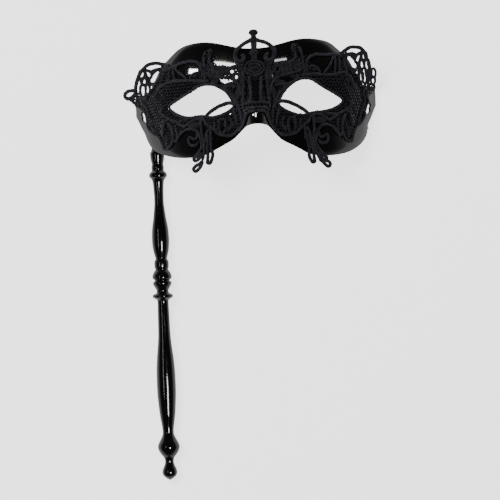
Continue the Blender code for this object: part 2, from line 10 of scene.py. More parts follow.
import bpy
import numpy as np
from mathutils import Matrix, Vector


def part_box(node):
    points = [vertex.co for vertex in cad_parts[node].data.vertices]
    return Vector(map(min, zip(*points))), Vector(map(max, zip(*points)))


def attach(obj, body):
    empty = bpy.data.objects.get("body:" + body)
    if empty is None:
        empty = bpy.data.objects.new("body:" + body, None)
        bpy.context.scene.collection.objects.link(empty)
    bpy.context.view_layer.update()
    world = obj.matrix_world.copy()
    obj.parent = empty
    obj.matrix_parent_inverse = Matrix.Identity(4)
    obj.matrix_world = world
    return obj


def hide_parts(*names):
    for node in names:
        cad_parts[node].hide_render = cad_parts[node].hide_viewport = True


# Mask form
HALF_WIDTH = 0.088
HEIGHT = 0.082
WRAP_DEPTH = 0.058
WRAP_POWER = 2.6
WRAP_REACH = 1.008 * HALF_WIDTH
BROW_FALL = 0.006
BROW_FALL_AT = 0.549 * HEIGHT
CHEEK_FALL = 0.007
CHEEK_FALL_AT = 0.4634 * HEIGHT
CHEEK_FALL_EASE = 0.55
NOSE_RISE = 0.015
NOSE_TOP = 0.2927 * HEIGHT
NOSE_RUN = 0.4634 * HEIGHT
NOSE_HALF_WIDTH = 0.125 * HALF_WIDTH
SOCKET_SINK = 0.0045
SOCKET_AT = 0.4886 * HALF_WIDTH
SOCKET_HALF_WIDTH = 0.2727 * HALF_WIDTH
SOCKET_HALF_HEIGHT = 0.1707 * HEIGHT

# Shell
SHELL_WALL = 0.0016
EYE_HEM = 0.0009
EDGE_ROLL = 0.0012
EDGE_ROLL_WIDTH = 0.0045
ROLL_CLEAR_OF_TABLE = 0.014
SLOT_LENGTH = 0.0088
SLOT_WIDTH = 0.0022
SLOT_U = 0.931
SLOT_V = -0.055
SLOT_LEAN = 0.17
EYE_CENTRE = (0.45, 0.03)
TEMPLE_SEAM = ((0.80, 0.292), (0.845, 0.10), (0.86, -0.10), (0.80, -0.400))

# Lace
WING_ROOT = (0.91, 0.13)
WING_LEAN = 0.78
WING_FROM_V = -0.02
WING_BLEND_V = 0.12
WING_LIFT = 1.25
WING_BEND = 0.003
SHIFT_SOFTNESS = 1e-5
CORD_WIDTH = 0.0020
GAP_CORD = 0.0019
CORD_FLATNESS = 0.78
CORD_SIDES = 10
CORD_STEP = 0.00055
CORD_LIFT = 0.00115
NET_LIFT = 0.0008
NET_PITCH = 0.00255
NET_THREAD = 0.00088
NET_JITTER = 0.00032
STITCH_PITCH = 0.00052

# Handle
HANDLE_RUN = 0.2375
HANDLE_TANG = 0.036
TANG_RADIUS = 0.0038
TANG_SHOULDER = 0.006
TANG_DEPTH = 0.0113
BALL_RADIUS = 0.00745
BALL_SHARE = 0.9005
LACQUER_BUILD = 0.0006
HANDLE_U = -0.835
HANDLE_START_V = -0.378

# View
CAMERA_HEIGHT = 1.406
CAMERA_PLAN = (-0.0085, -0.1045)
CAMERA_LENS = 137.8
CAMERA_TURN = 2.3
FLOOR_GLOW = 0.75
FLOOR_GLOW_SEEN = 2.2

# Shell outline, one half, from the middle of the brow round the temple to the nose arch: u, v
SHELL_OUTLINE = (
    (0.0, 0.462), (0.09, 0.468), (0.15, 0.480), (0.22, 0.500), (0.30, 0.523), (0.37, 0.537),
    (0.44, 0.541), (0.51, 0.535), (0.57, 0.521), (0.62, 0.495), (0.665, 0.457), (0.72, 0.405),
    (0.77, 0.350), (0.813, 0.270), (0.860, 0.178), (0.915, 0.140), (0.985, 0.140), (1.030, 0.11),
    (1.030, 0.03), (1.012, -0.02), (0.985, -0.08), (0.960, -0.14), (0.932, -0.20),
    (0.912, -0.26), (0.890, -0.31), (0.853, -0.360), (0.80, -0.395), (0.74, -0.421),
    (0.67, -0.441), (0.60, -0.451), (0.53, -0.452), (0.46, -0.445), (0.40, -0.428),
    (0.34, -0.397), (0.27, -0.360), (0.20, -0.321), (0.15, -0.278), (0.12, -0.247),
    (0.09, -0.221), (0.05, -0.207), (0.0, -0.202),
)

# The right half's cheek hangs a little lower: u, v on the left, shift u, v
CHEEK_SHIFT = (
    (0.0, 0.45, 0.0, 0.0), (0.45, 0.53, 0.006, 0.0), (0.66, 0.45, 0.010, 0.005),
    (1.03, 0.10, -0.010, 0.0), (0.96, -0.14, -0.008, 0.0), (0.88, -0.31, 0.002, -0.014),
    (0.70, -0.44, 0.004, -0.026), (0.45, -0.44, 0.0, -0.026), (0.27, -0.35, 0.0, -0.018),
    (0.0, -0.20, 0.0, 0.0),
)

# Eye opening in the lace, round from the outer corner: u, v
EYE_OUTLINE = (
    (0.703, 0.0), (0.650, 0.043), (0.547, 0.101), (0.46, 0.150), (0.40, 0.162), (0.33, 0.150),
    (0.25, 0.098), (0.205, 0.03), (0.186, -0.035), (0.25, -0.083), (0.35, -0.112),
    (0.44, -0.096), (0.56, -0.099), (0.65, -0.058),
)

# Ground of net: its edge, one half, from the crest round the temple to the nose: u, v
NET_OUTLINE = (
    (0.0, 0.34), (0.10, 0.33), (0.14, 0.30), (0.20, 0.315),
    (0.28, 0.325), (0.332, 0.35), (0.345, 0.40), (0.322, 0.44), (0.35, 0.476), (0.388, 0.458),
    (0.405, 0.41), (0.428, 0.36), (0.452, 0.30), (0.46, 0.235), (0.52, 0.222), (0.61, 0.224),
    (0.655, 0.25), (0.675, 0.31), (0.69, 0.362), (0.755, 0.386), (0.80, 0.396), (0.87, 0.387),
    (0.912, 0.358), (0.952, 0.312), (0.981, 0.260), (0.992, 0.20), (1.00, 0.165), (1.03, 0.11),
    (1.012, 0.075), (0.985, 0.05), (0.952, 0.012), (0.92, -0.02), (0.904, -0.07),
    (0.902, -0.15), (0.865, -0.205), (0.805, -0.25), (0.785, -0.31), (0.77, -0.372),
    (0.715, -0.352), (0.675, -0.31), (0.64, -0.255), (0.585, -0.195), (0.53, -0.150),
    (0.48, -0.135), (0.425, -0.15), (0.40, -0.205), (0.35, -0.215), (0.31, -0.262),
    (0.25, -0.282), (0.20, -0.296), (0.15, -0.255), (0.118, -0.22), (0.10, -0.185),
    (0.088, -0.14), (0.065, -0.103), (0.0, -0.093),
)

# Windows in the net where the shell shows between the cords: points u, v
NET_WINDOWS = (
    ((0.340, 0.165), (0.300, 0.205), (0.190, 0.195), (0.155, 0.160), (0.200, 0.145),
     (0.270, 0.150)),
    ((0.215, 0.285), (0.170, 0.290), (0.160, 0.245), (0.195, 0.235)),
    ((0.180, 0.235), (0.140, 0.245), (0.125, 0.200), (0.160, 0.190)),
    ((0.400, 0.385), (0.372, 0.385), (0.370, 0.320), (0.400, 0.315)),
    ((0.808, -0.130), (0.795, -0.125), (0.782, -0.240), (0.800, -0.240)),
    ((0.742, -0.150), (0.725, -0.150), (0.765, -0.245), (0.780, -0.235)),
    ((0.085, 0.18), (0.060, 0.18), (0.055, -0.02), (0.080, -0.03)),
    ((0.030, 0.18), (-0.02, 0.18), (-0.02, -0.02), (0.025, -0.03)),
    ((0.190, 0.110), (0.150, 0.125), (0.130, 0.070), (0.165, 0.050)),
    ((0.290, -0.160), (0.262, -0.160), (0.262, -0.240), (0.288, -0.245)),
    ((0.230, -0.150), (0.205, -0.150), (0.205, -0.200), (0.225, -0.205)),
)

# Cords: name, width in shares of CORD_WIDTH, closed, points u, v
CORDS = (
    ("wing_outer", 1.45, False, ((0.700, 0.345), (0.725, 0.372), (0.755, 0.383), (0.790, 0.391),
                                 (0.842, 0.389), (0.874, 0.378), (0.902, 0.356),
                                 (0.926, 0.333), (0.948, 0.300), (0.967, 0.260),
                                 (0.981, 0.223), (0.987, 0.193), (0.987, 0.160),
                                 (0.980, 0.130))),
    ("wing_web", 1.30, False, ((0.700, 0.330), (0.745, 0.345), (0.790, 0.340), (0.830, 0.320),
                               (0.850, 0.325), (0.890, 0.345))),
    ("wing_web_outer", 1.25, False, ((0.897, 0.345), (0.895, 0.310), (0.888, 0.280),
                                     (0.880, 0.250), (0.870, 0.215), (0.866, 0.170))),
    ("wing_web_inner", 1.25, False, ((0.765, 0.340), (0.765, 0.300), (0.785, 0.262),
                                     (0.815, 0.225), (0.850, 0.215))),
    ("wing_hem", 0.95, False, ((0.952, 0.200), (0.945, 0.150), (0.935, 0.110), (0.912, 0.100),
                               (0.890, 0.125))),
    ("temple_rib", 0.82, False, ((0.735, 0.350), (0.742, 0.310), (0.755, 0.270), (0.770, 0.230),
                                 (0.775, 0.195))),
    ("side_leaf", 1.45, True, ((0.990, 0.175), (1.030, 0.181), (1.067, 0.171), (1.086, 0.142),
                               (1.064, 0.117), (1.028, 0.124), (1.000, 0.148))),
    ("leaf_scallop_one", 1.27, False, ((1.045, 0.122), (1.040, 0.105), (1.020, 0.098),
                                       (1.010, 0.112), (1.018, 0.128))),
    ("leaf_scallop_two", 1.27, False, ((1.022, 0.098), (1.015, 0.078), (0.996, 0.072),
                                       (0.985, 0.088), (0.990, 0.106))),
    ("leaf_scallop_three", 1.27, False, ((0.998, 0.072), (0.992, 0.050), (0.972, 0.045),
                                         (0.962, 0.062))),
    ("temple_edge", 0.87, False, ((0.982, 0.150), (0.972, 0.100), (0.965, 0.050),
                                  (0.940, 0.005), (0.918, -0.030), (0.908, -0.075),
                                  (0.905, -0.120), (0.900, -0.155), (0.880, -0.190),
                                  (0.850, -0.220), (0.812, -0.248), (0.790, -0.290),
                                  (0.775, -0.340), (0.765, -0.372))),
    ("temple_inner", 0.80, False, ((0.948, 0.130), (0.935, 0.070), (0.905, 0.015),
                                   (0.885, -0.040), (0.875, -0.100), (0.862, -0.160),
                                   (0.832, -0.205))),
    ("brow_band", 0.95, False, ((0.835, 0.085), (0.815, 0.125), (0.790, 0.165), (0.750, 0.200),
                                (0.700, 0.217), (0.650, 0.222), (0.580, 0.217), (0.520, 0.212),
                                (0.470, 0.205), (0.420, 0.198), (0.370, 0.195))),
    ("brow_arch", 1.04, False, ((0.420, 0.225), (0.422, 0.280), (0.432, 0.325), (0.455, 0.358),
                                (0.500, 0.377), (0.550, 0.377), (0.600, 0.368), (0.650, 0.352),
                                (0.700, 0.338), (0.740, 0.330))),
    ("brow_post", 0.87, False, ((0.655, 0.345), (0.660, 0.305), (0.655, 0.262), (0.645, 0.220))),
    ("brow_post_outer", 0.82, False, ((0.690, 0.340), (0.698, 0.295), (0.700, 0.250),
                                      (0.708, 0.215))),
    ("brow_leaf", 0.84, False, ((0.552, 0.222), (0.570, 0.248), (0.595, 0.274), (0.622, 0.300),
                                (0.640, 0.330), (0.628, 0.356))),
    ("brow_curl", 0.90, False, ((0.528, 0.222), (0.515, 0.252), (0.490, 0.272), (0.460, 0.276),
                                (0.438, 0.262))),
    ("knob_outer", 0.92, False, ((0.400, 0.205), (0.402, 0.260), (0.402, 0.320), (0.408, 0.370),
                                 (0.405, 0.415), (0.388, 0.452))),
    ("knob_tail", 0.92, False, ((0.345, 0.420), (0.362, 0.390), (0.362, 0.355), (0.335, 0.328),
                                (0.290, 0.310), (0.250, 0.304), (0.210, 0.300), (0.175, 0.308),
                                (0.145, 0.318))),
    ("comb_lower", 0.90, False, ((0.402, 0.268), (0.375, 0.246), (0.348, 0.233), (0.315, 0.225),
                                 (0.280, 0.220), (0.250, 0.219), (0.215, 0.213),
                                 (0.180, 0.198), (0.150, 0.170), (0.132, 0.140),
                                 (0.120, 0.100), (0.115, 0.050))),
    ("comb_rung_one", 0.77, False, ((0.385, 0.345), (0.372, 0.300), (0.368, 0.250))),
    ("comb_rung_two", 0.77, False, ((0.345, 0.330), (0.335, 0.285), (0.330, 0.232))),
    ("comb_rung_three", 0.77, False, ((0.305, 0.315), (0.300, 0.270), (0.298, 0.224))),
    ("comb_rung_four", 0.77, False, ((0.265, 0.305), (0.260, 0.262), (0.262, 0.221))),
    ("comb_rung_five", 0.77, False, ((0.228, 0.302), (0.225, 0.260), (0.228, 0.218))),
    ("comb_middle", 0.77, False, ((0.395, 0.300), (0.350, 0.285), (0.300, 0.270),
                                  (0.250, 0.264), (0.205, 0.262))),
    ("crest_bead_ring", 0.82, True, ((0.195, 0.292), (0.170, 0.288), (0.160, 0.262),
                                     (0.178, 0.240), (0.202, 0.250), (0.208, 0.275))),
    ("crest_drop_ring", 0.82, True, ((0.160, 0.245), (0.135, 0.238), (0.128, 0.212),
                                     (0.145, 0.190), (0.168, 0.200), (0.172, 0.225))),
    ("brow_oval", 0.90, False, ((0.330, 0.205), (0.345, 0.182), (0.320, 0.158), (0.275, 0.142),
                                (0.228, 0.138), (0.185, 0.140), (0.160, 0.125))),
    ("eye_inner_arc", 0.90, False, ((0.275, 0.135), (0.235, 0.112), (0.200, 0.080),
                                    (0.178, 0.040), (0.160, 0.000), (0.150, -0.040),
                                    (0.155, -0.080))),
    ("nose_fan_one", 0.80, False, ((0.145, 0.045), (0.148, -0.010), (0.135, -0.060),
                                   (0.125, -0.110), (0.128, -0.160))),
    ("nose_fan_two", 0.80, False, ((0.180, -0.055), (0.172, -0.110), (0.160, -0.160),
                                   (0.158, -0.205))),
    ("crown_arch", 1.48, False, ((0.0, 0.536), (0.033, 0.527), (0.066, 0.511), (0.099, 0.489),
                                 (0.130, 0.460), (0.146, 0.432), (0.151, 0.400),
                                 (0.146, 0.368), (0.126, 0.347), (0.100, 0.349),
                                 (0.084, 0.372), (0.090, 0.400), (0.108, 0.405))),
    ("crown_foot", 0.82, False, ((0.150, 0.360), (0.140, 0.335), (0.118, 0.315),
                                 (0.090, 0.312))),
    ("centre_post", 0.90, False, ((0.048, 0.215), (0.045, 0.160), (0.042, 0.100),
                                  (0.040, 0.040), (0.046, -0.010))),
    ("centre_post_outer", 0.90, False, ((0.098, 0.270), (0.092, 0.210), (0.094, 0.150),
                                        (0.100, 0.090), (0.104, 0.030), (0.108, -0.030),
                                        (0.100, -0.085))),
    ("nose_edge", 0.92, False, ((0.0, -0.093), (0.040, -0.094), (0.072, -0.104),
                                (0.090, -0.135), (0.102, -0.175), (0.122, -0.215),
                                (0.150, -0.250))),
    ("nose_band", 0.82, False, ((0.0, -0.065), (0.045, -0.066), (0.080, -0.075),
                                (0.105, -0.095))),
    ("nose_rung", 0.82, False, ((0.0, -0.020), (0.040, -0.018), (0.075, -0.022),
                                (0.105, -0.030))),
    ("under_eye", 0.95, False, ((0.655, -0.135), (0.625, -0.160), (0.585, -0.180),
                                (0.555, -0.158), (0.515, -0.136), (0.465, -0.122),
                                (0.425, -0.136), (0.408, -0.172), (0.385, -0.186))),
    ("temple_band", 0.90, False, ((0.800, -0.020), (0.770, -0.055), (0.730, -0.090),
                                  (0.690, -0.115), (0.650, -0.135), (0.610, -0.130),
                                  (0.560, -0.122))),
    ("scroll_feed", 0.97, False, ((0.690, -0.290), (0.660, -0.300), (0.640, -0.270),
                                  (0.615, -0.235), (0.580, -0.212), (0.535, -0.205),
                                  (0.495, -0.220), (0.470, -0.252), (0.460, -0.295),
                                  (0.452, -0.340), (0.457, -0.378), (0.478, -0.410),
                                  (0.505, -0.438))),
    ("scroll_ring", 0.92, False, ((0.490, -0.248), (0.484, -0.275), (0.500, -0.296),
                                  (0.524, -0.290), (0.545, -0.275), (0.558, -0.300),
                                  (0.548, -0.335), (0.520, -0.350), (0.490, -0.342),
                                  (0.478, -0.315))),
    ("cheek_cord", 0.95, False, ((0.725, -0.130), (0.702, -0.170), (0.688, -0.215),
                                 (0.684, -0.260), (0.690, -0.300))),
    ("cheek_edge", 0.92, False, ((0.765, -0.372), (0.735, -0.358), (0.708, -0.335),
                                 (0.692, -0.305), (0.686, -0.270))),
    ("cheek_rib", 0.82, False, ((0.660, -0.160), (0.655, -0.200), (0.648, -0.240),
                                (0.655, -0.280))),
    ("cheek_diagonal", 0.82, False, ((0.745, -0.260), (0.735, -0.300), (0.742, -0.340))),
    ("stem", 0.97, False, ((0.448, -0.125), (0.450, -0.175), (0.449, -0.225), (0.441, -0.280),
                           (0.432, -0.345), (0.434, -0.400), (0.440, -0.450),
                           (0.462, -0.500))),
    ("stem_middle", 0.95, False, ((0.425, -0.330), (0.415, -0.290), (0.405, -0.250),
                                  (0.388, -0.215))),
    ("stem_inner", 0.97, False, ((0.372, -0.190), (0.374, -0.240), (0.378, -0.300),
                                 (0.376, -0.350), (0.378, -0.405))),
    ("stem_mid_low", 0.95, False, ((0.402, -0.260), (0.404, -0.310), (0.404, -0.360),
                                   (0.408, -0.415))),
    ("zero_loop", 0.82, True, ((0.300, -0.150), (0.280, -0.138), (0.255, -0.150),
                               (0.250, -0.205), (0.262, -0.255), (0.288, -0.268),
                               (0.302, -0.225))),
    ("zero_next", 0.82, False, ((0.345, -0.140), (0.340, -0.180), (0.342, -0.220),
                                (0.318, -0.258))),
    ("zero_last", 0.82, False, ((0.215, -0.135), (0.205, -0.180), (0.215, -0.225),
                                (0.240, -0.245))),
    ("cheek_hem", 0.87, False, ((0.385, -0.190), (0.352, -0.218), (0.315, -0.262),
                                (0.262, -0.282), (0.212, -0.285), (0.175, -0.262),
                                (0.150, -0.235))),
    ("loop_low", 1.32, False, ((0.458, -0.484), (0.474, -0.508), (0.507, -0.526),
                               (0.529, -0.551), (0.512, -0.573), (0.480, -0.549),
                               (0.460, -0.515), (0.445, -0.490))),
    ("loop_side", 1.24, False, ((0.452, -0.418), (0.476, -0.434), (0.500, -0.446),
                                (0.522, -0.462), (0.514, -0.482), (0.488, -0.474),
                                (0.462, -0.450), (0.445, -0.430))),
    ("loop_nose", 1.30, False, ((0.408, -0.400), (0.405, -0.440), (0.409, -0.480),
                                (0.412, -0.505), (0.395, -0.511), (0.380, -0.490),
                                (0.367, -0.450), (0.368, -0.410), (0.378, -0.385))),
    ("eye_thread", 1.45, False, ((0.165, -0.012), (0.23, -0.006), (0.30, -0.028),
                                 (0.36, -0.062), (0.415, -0.108))),
)

# Gaps of the wing, each with a cord round it: name, points u, v
WING_GAPS = (
    ("wing_top", ((0.885, 0.362), (0.861, 0.338), (0.834, 0.346), (0.803, 0.356),
                  (0.771, 0.354), (0.765, 0.367), (0.785, 0.382), (0.825, 0.377),
                  (0.856, 0.371))),
    ("wing_outer", ((0.928, 0.330), (0.913, 0.322), (0.917, 0.296), (0.936, 0.256),
                    (0.951, 0.213), (0.962, 0.172), (0.972, 0.160), (0.979, 0.178),
                    (0.977, 0.215), (0.966, 0.252), (0.947, 0.292))),
    ("wing_middle", ((0.785, 0.322), (0.782, 0.304), (0.804, 0.262), (0.830, 0.238),
                     (0.850, 0.240), (0.853, 0.257), (0.838, 0.284), (0.804, 0.316))),
    ("wing_lower", ((0.938, 0.200), (0.924, 0.217), (0.911, 0.208), (0.914, 0.168),
                    (0.927, 0.127), (0.938, 0.160))),
    ("wing_round", ((0.926, 0.265), (0.912, 0.270), (0.903, 0.252), (0.904, 0.232),
                    (0.918, 0.226), (0.928, 0.242))),
    ("wing_small", ((0.880, 0.325), (0.866, 0.318), (0.855, 0.290), (0.862, 0.282),
                    (0.876, 0.300))),
    ("wing_inner", ((0.893, 0.207), (0.883, 0.205), (0.879, 0.175), (0.885, 0.150),
                    (0.893, 0.165))),
)

# Satin pads: name, centre u, v, half length and half width in metres, turn in degrees, rise
PADS = (
    ("knob", 0.352, 0.440, 0.0027, 0.0018, 95.0, 0.0012),
    ("curl_pad", 0.482, 0.248, 0.0019, 0.0011, 10.0, 0.0007),
    ("comb_pad", 0.282, 0.283, 0.0016, 0.0012, 90.0, 0.0007),
    ("comb_pad_inner", 0.245, 0.282, 0.0013, 0.0010, 90.0, 0.0006),
    ("bead_pad", 0.115, 0.283, 0.0015, 0.0013, 0.0, 0.0008),
    ("leaf_blade", 0.768, -0.190, 0.0052, 0.0015, 82.0, 0.0009),
    ("leaf_cap", 0.752, -0.118, 0.0026, 0.0009, 8.0, 0.0007),
    ("zero_pad", 0.291, -0.262, 0.0013, 0.0010, 0.0, 0.0007),
    ("hem_pad", 0.232, -0.228, 0.0019, 0.0012, 15.0, 0.0007),
    ("cheek_pad", 0.188, -0.190, 0.0017, 0.0011, 60.0, 0.0007),
    ("stem_pad", 0.367, -0.300, 0.0014, 0.0009, 85.0, 0.0006),
    ("comb_ground", 0.335, 0.274, 0.0040, 0.0030, 8.0, 0.0003),
    ("eye_corner_ground", 0.186, -0.080, 0.0018, 0.0011, 60.0, 0.0003),
    ("oval_ground", 0.200, 0.160, 0.0040, 0.0014, 5.0, 0.0003),
    ("oval_ground_outer", 0.308, 0.190, 0.0024, 0.0013, 20.0, 0.0003),
    ("crest_ground", 0.112, 0.262, 0.0030, 0.0022, 80.0, 0.0003),
    ("crest_ground_low", 0.106, 0.190, 0.0040, 0.0014, 80.0, 0.0003),
    ("crest_ground_side", 0.205, 0.216, 0.0034, 0.0012, 12.0, 0.0003),
    ("crest_ground_upper", 0.185, 0.296, 0.0034, 0.0008, 5.0, 0.0003),
    ("comb_ground_inner", 0.270, 0.258, 0.0034, 0.0022, 4.0, 0.0003),
    ("crescent_ground", 0.505, -0.176, 0.0050, 0.0024, 2.0, 0.0003),
    ("nose_ground", 0.140, 0.080, 0.0042, 0.0020, 70.0, 0.0003),
    ("temple_pad", 0.770, 0.145, 0.0020, 0.0012, 40.0, 0.0006),
    ("temple_pad_low", 0.775, -0.020, 0.0022, 0.0012, 75.0, 0.0006),
)

# Satin pads of the crest, in the same terms
CREST_PADS = (
    (0.0, 0.283, 0.0030, 0.0018, 0.0, 0.0011),
    (0.0, 0.418, 0.0034, 0.0022, 0.0, 0.0011),
    (0.0, 0.600, 0.0034, 0.0024, 0.0, 0.0012),
    (0.0, 0.567, 0.0030, 0.0019, 90.0, 0.0010),
    (0.0, 0.535, 0.0042, 0.0018, 0.0, 0.0009),
    (0.0, 0.500, 0.0040, 0.0020, 90.0, 0.0006),
)

# Two small rings of the right side leaf: name, points u, v on the right
RIGHT_LEAF = (
    ("leaf_ring_upper", ((0.968, 0.283), (0.985, 0.278), (0.996, 0.252), (0.994, 0.222),
                         (0.980, 0.205), (0.965, 0.222), (0.962, 0.255))),
    ("leaf_ring_lower", ((0.968, 0.215), (0.988, 0.210), (0.993, 0.180), (0.982, 0.150),
                         (0.965, 0.155), (0.957, 0.185))),
    ("leaf_foot", ((0.952, 0.152), (0.975, 0.150), (0.990, 0.134), (0.985, 0.114),
                   (0.962, 0.112), (0.944, 0.128))),
)
LEFT_LEAF_NAMES = ("side_leaf", "leaf_scallop_one", "leaf_scallop_two", "leaf_scallop_three")

# The right half was laid a little higher and its leaf folded in: u, v on the left, shift u, v
RIGHT_SHIFT = (
    (0.825, 0.36, -0.007, 0.068), (0.955, 0.245, -0.037, 0.090), (0.822, 0.283, -0.022, 0.056),
    (0.922, 0.17, -0.020, 0.048), (0.888, 0.178, -0.011, 0.030), (1.088, 0.142, -0.091, 0.093),
    (1.035, 0.184, -0.052, 0.088),
    (1.0, 0.17, -0.045, 0.048), (1.035, 0.11, -0.037, 0.005), (0.985, 0.055, -0.050, 0.006),
    (0.348, 0.44, -0.033, 0.018), (0.53, 0.378, 0.0, 0.018), (0.51, -0.30, 0.015, -0.022),
    (0.765, -0.19, 0.010, 0.020), (0.39, -0.465, 0.045, -0.025), (0.50, -0.46, 0.035, -0.035),
    (0.50, -0.54, 0.057, 0.0), (0.45, 0.16, 0.0, 0.020), (0.60, 0.075, 0.0, 0.010), (0.36, -0.115, 0.010, -0.012),
    (0.56, -0.10, 0.0, 0.012),
    (0.70, 0.0, 0.0, 0.0), (0.20, 0.05, 0.0, 0.0), (0.10, 0.20, 0.0, 0.0), (0.0, 0.0, 0.0, 0.0),
    (0.905, -0.15, -0.008, 0.02), (0.60, 0.20, 0.0, 0.0), (0.20, -0.28, 0.0, -0.012),
    (0.10, 0.50, 0.022, 0.0), (0.0, 0.5, 0.0, 0.0), (0.0, 0.596, 0.0, 0.0),
    (0.0, 0.545, 0.0, 0.0), (0.69, 0.36, 0.0, 0.05), (0.905, 0.366, -0.017, 0.077),
    (0.935, 0.335, -0.023, 0.075), (0.962, 0.30, -0.032, 0.066), (0.985, 0.24, -0.038, 0.064),
    (0.10, -0.18, 0.0, 0.0), (0.905, -0.02, 0.0, 0.0),
)

# Turned outline of the handle below the shell's edge: share of the run, share of the ball radius
HANDLE_TURNING = (
    (0.000, 0.620), (0.014, 0.600), (0.028, 0.530), (0.034, 0.480), (0.042, 0.530),
    (0.049, 0.530), (0.055, 0.530), (0.061, 0.730), (0.067, 0.800), (0.073, 0.780),
    (0.079, 0.610), (0.087, 0.490), (0.098, 0.445),
    (0.118, 0.405), (0.139, 0.390), (0.161, 0.415), (0.198, 0.555), (0.232, 0.725),
    (0.262, 0.780), (0.282, 0.755), (0.300, 0.680), (0.317, 0.540), (0.324, 0.490),
    (0.331, 0.610), (0.340, 0.640), (0.350, 0.620), (0.357, 0.560), (0.364, 0.700),
    (0.370, 0.810), (0.377, 0.870), (0.383, 0.870), (0.3865, 0.790), (0.389, 0.660),
    (0.392, 0.660), (0.3945, 0.810), (0.400, 0.840), (0.406, 0.770), (0.413, 0.640),
    (0.421, 0.510),
    (0.4285, 0.560), (0.432, 0.790), (0.436, 0.920), (0.441, 0.920), (0.4455, 0.760),
    (0.450, 0.530), (0.457, 0.470), (0.490, 0.490),
    (0.556, 0.535), (0.593, 0.630), (0.629, 0.755), (0.666, 0.835), (0.703, 0.862),
    (0.740, 0.845), (0.776, 0.765), (0.804, 0.680), (0.8315, 0.545), (0.850, 0.475),
    (0.861, 0.485), (0.870, 0.590), (0.879, 0.740), (0.888, 0.895), (0.896, 0.985),
    (BALL_SHARE, 1.000), (0.905, 0.985), (0.914, 0.875), (0.923, 0.695), (0.9325, 0.450),
    (0.942, 0.360), (0.951, 0.370), (0.960, 0.480), (0.969, 0.605), (0.9785, 0.650),
    (0.988, 0.565), (0.997, 0.240),
)


def ease(t):
    """A smooth step from 0 to 1 as t goes from 0 to 1."""
    t = np.clip(t, 0.0, 1.0)
    return t * t * (3.0 - 2.0 * t)


def form_height(x, y):
    """Height of the shell's outer face: wrap round the head, falls, nose and eye sockets."""
    x = np.abs(x)
    wrap = WRAP_DEPTH * (1.0 - (x / WRAP_REACH) ** WRAP_POWER)
    brow = BROW_FALL * (np.maximum(y, 0.0) / BROW_FALL_AT) ** 2
    cheek = CHEEK_FALL * (np.maximum(-y, 0.0) / CHEEK_FALL_AT) ** 2
    cheek = cheek * (1.0 - CHEEK_FALL_EASE * (x / WRAP_REACH) ** 2)
    nose = NOSE_RISE * ease((NOSE_TOP - y) / NOSE_RUN) * np.exp(-(x / NOSE_HALF_WIDTH) ** 2)
    socket = SOCKET_SINK * np.exp(-((x - SOCKET_AT) / SOCKET_HALF_WIDTH) ** 2
                                  - (y / SOCKET_HALF_HEIGHT) ** 2)
    return wrap - brow - cheek + nose - socket


def lace_height(x, y):
    """The form, with the lace wings standing off it beyond the shell's upper temple edge."""
    v = y / HEIGHT
    root = (WING_ROOT[0] - WING_LEAN * np.maximum(v - WING_ROOT[1], 0.0)) * HALF_WIDTH
    beyond = np.maximum(np.abs(x) - root, 0.0)
    above = ease((v - WING_FROM_V) / WING_BLEND_V)
    return form_height(x, y) + above * WING_LIFT * beyond ** 2 / (beyond + WING_BEND)


def normal_of(height, x, y):
    """Unit normals of a height field, by central differences."""
    d = 0.0002
    dx = (height(x + d, y) - height(x - d, y)) / (2 * d)
    dy = (height(x, y + d) - height(x, y - d)) / (2 * d)
    n = np.stack([-dx, -dy, np.ones_like(dx)], axis=-1)
    return n / np.linalg.norm(n, axis=-1, keepdims=True)


def lay_on(height, x, y, lift):
    """Points a lift above a height field along its normal, keeping their place in plan."""
    n = normal_of(height, x, y)
    x = x - n[..., 0] * lift
    y = y - n[..., 1] * lift
    n = normal_of(height, x, y)
    return np.stack([x, y, height(x, y)], axis=-1) + n * np.asarray(lift)[..., None], n


def place(points, side, shifts=None):
    """Shares of the left half pattern to metres on the named side (-1 left, 1 right)."""
    uv = np.array(points, float)
    if side > 0:
        table = np.array(RIGHT_SHIFT if shifts is None else shifts)
        d2 = ((uv[:, None, :] - table[None, :, :2]) ** 2).sum(axis=2)
        weight = 1.0 / (d2 + SHIFT_SOFTNESS) ** 2
        weight /= weight.sum(axis=1)[:, None]
        uv = uv + weight @ table[:, 2:]
    return uv * (side * HALF_WIDTH, HEIGHT)


def smooth_line(points, step, closed=False):
    """Catmull-Rom curve through the points, resampled at even steps along its length."""
    p = np.asarray(points, float)
    if closed:
        p = np.vstack([p[-1:], p, p[:2]])
    else:
        p = np.vstack([2 * p[0] - p[1], p, 2 * p[-1] - p[-2]])
    t = np.linspace(0.0, 1.0, 24, endpoint=False)[None, :, None]
    a, b, c, d = (p[i:len(p) - 3 + i, None] for i in range(4))
    fine = 0.5 * (2 * b + (c - a) * t + (2 * a - 5 * b + 4 * c - d) * t ** 2
                  + (3 * b - a - 3 * c + d) * t ** 3)
    fine = np.vstack([fine.reshape(-1, p.shape[1]), p[-2:-1]])
    run = np.concatenate([[0.0], np.cumsum(np.linalg.norm(np.diff(fine, axis=0), axis=1))])
    at = np.linspace(0.0, run[-1], max(4, round(run[-1] / step)) + 1)
    line = np.stack([np.interp(at, run, fine[:, k]) for k in range(fine.shape[1])], axis=1)
    return line[:-1] if closed else line


def inside(points, loop):
    """Which points lie in a closed loop: an odd number of its edges cross the ray to +x."""
    x, y = points[:, :1], points[:, 1:2]
    x1, y1 = loop[:, 0], loop[:, 1]
    x2, y2 = np.roll(x1, -1), np.roll(y1, -1)
    crosses = (y1 > y) != (y2 > y)
    slope = (x2 - x1) / np.where(y2 == y1, 1.0, y2 - y1)
    return (crosses & (x < x1 + (y - y1) * slope)).sum(axis=1) % 2 == 1


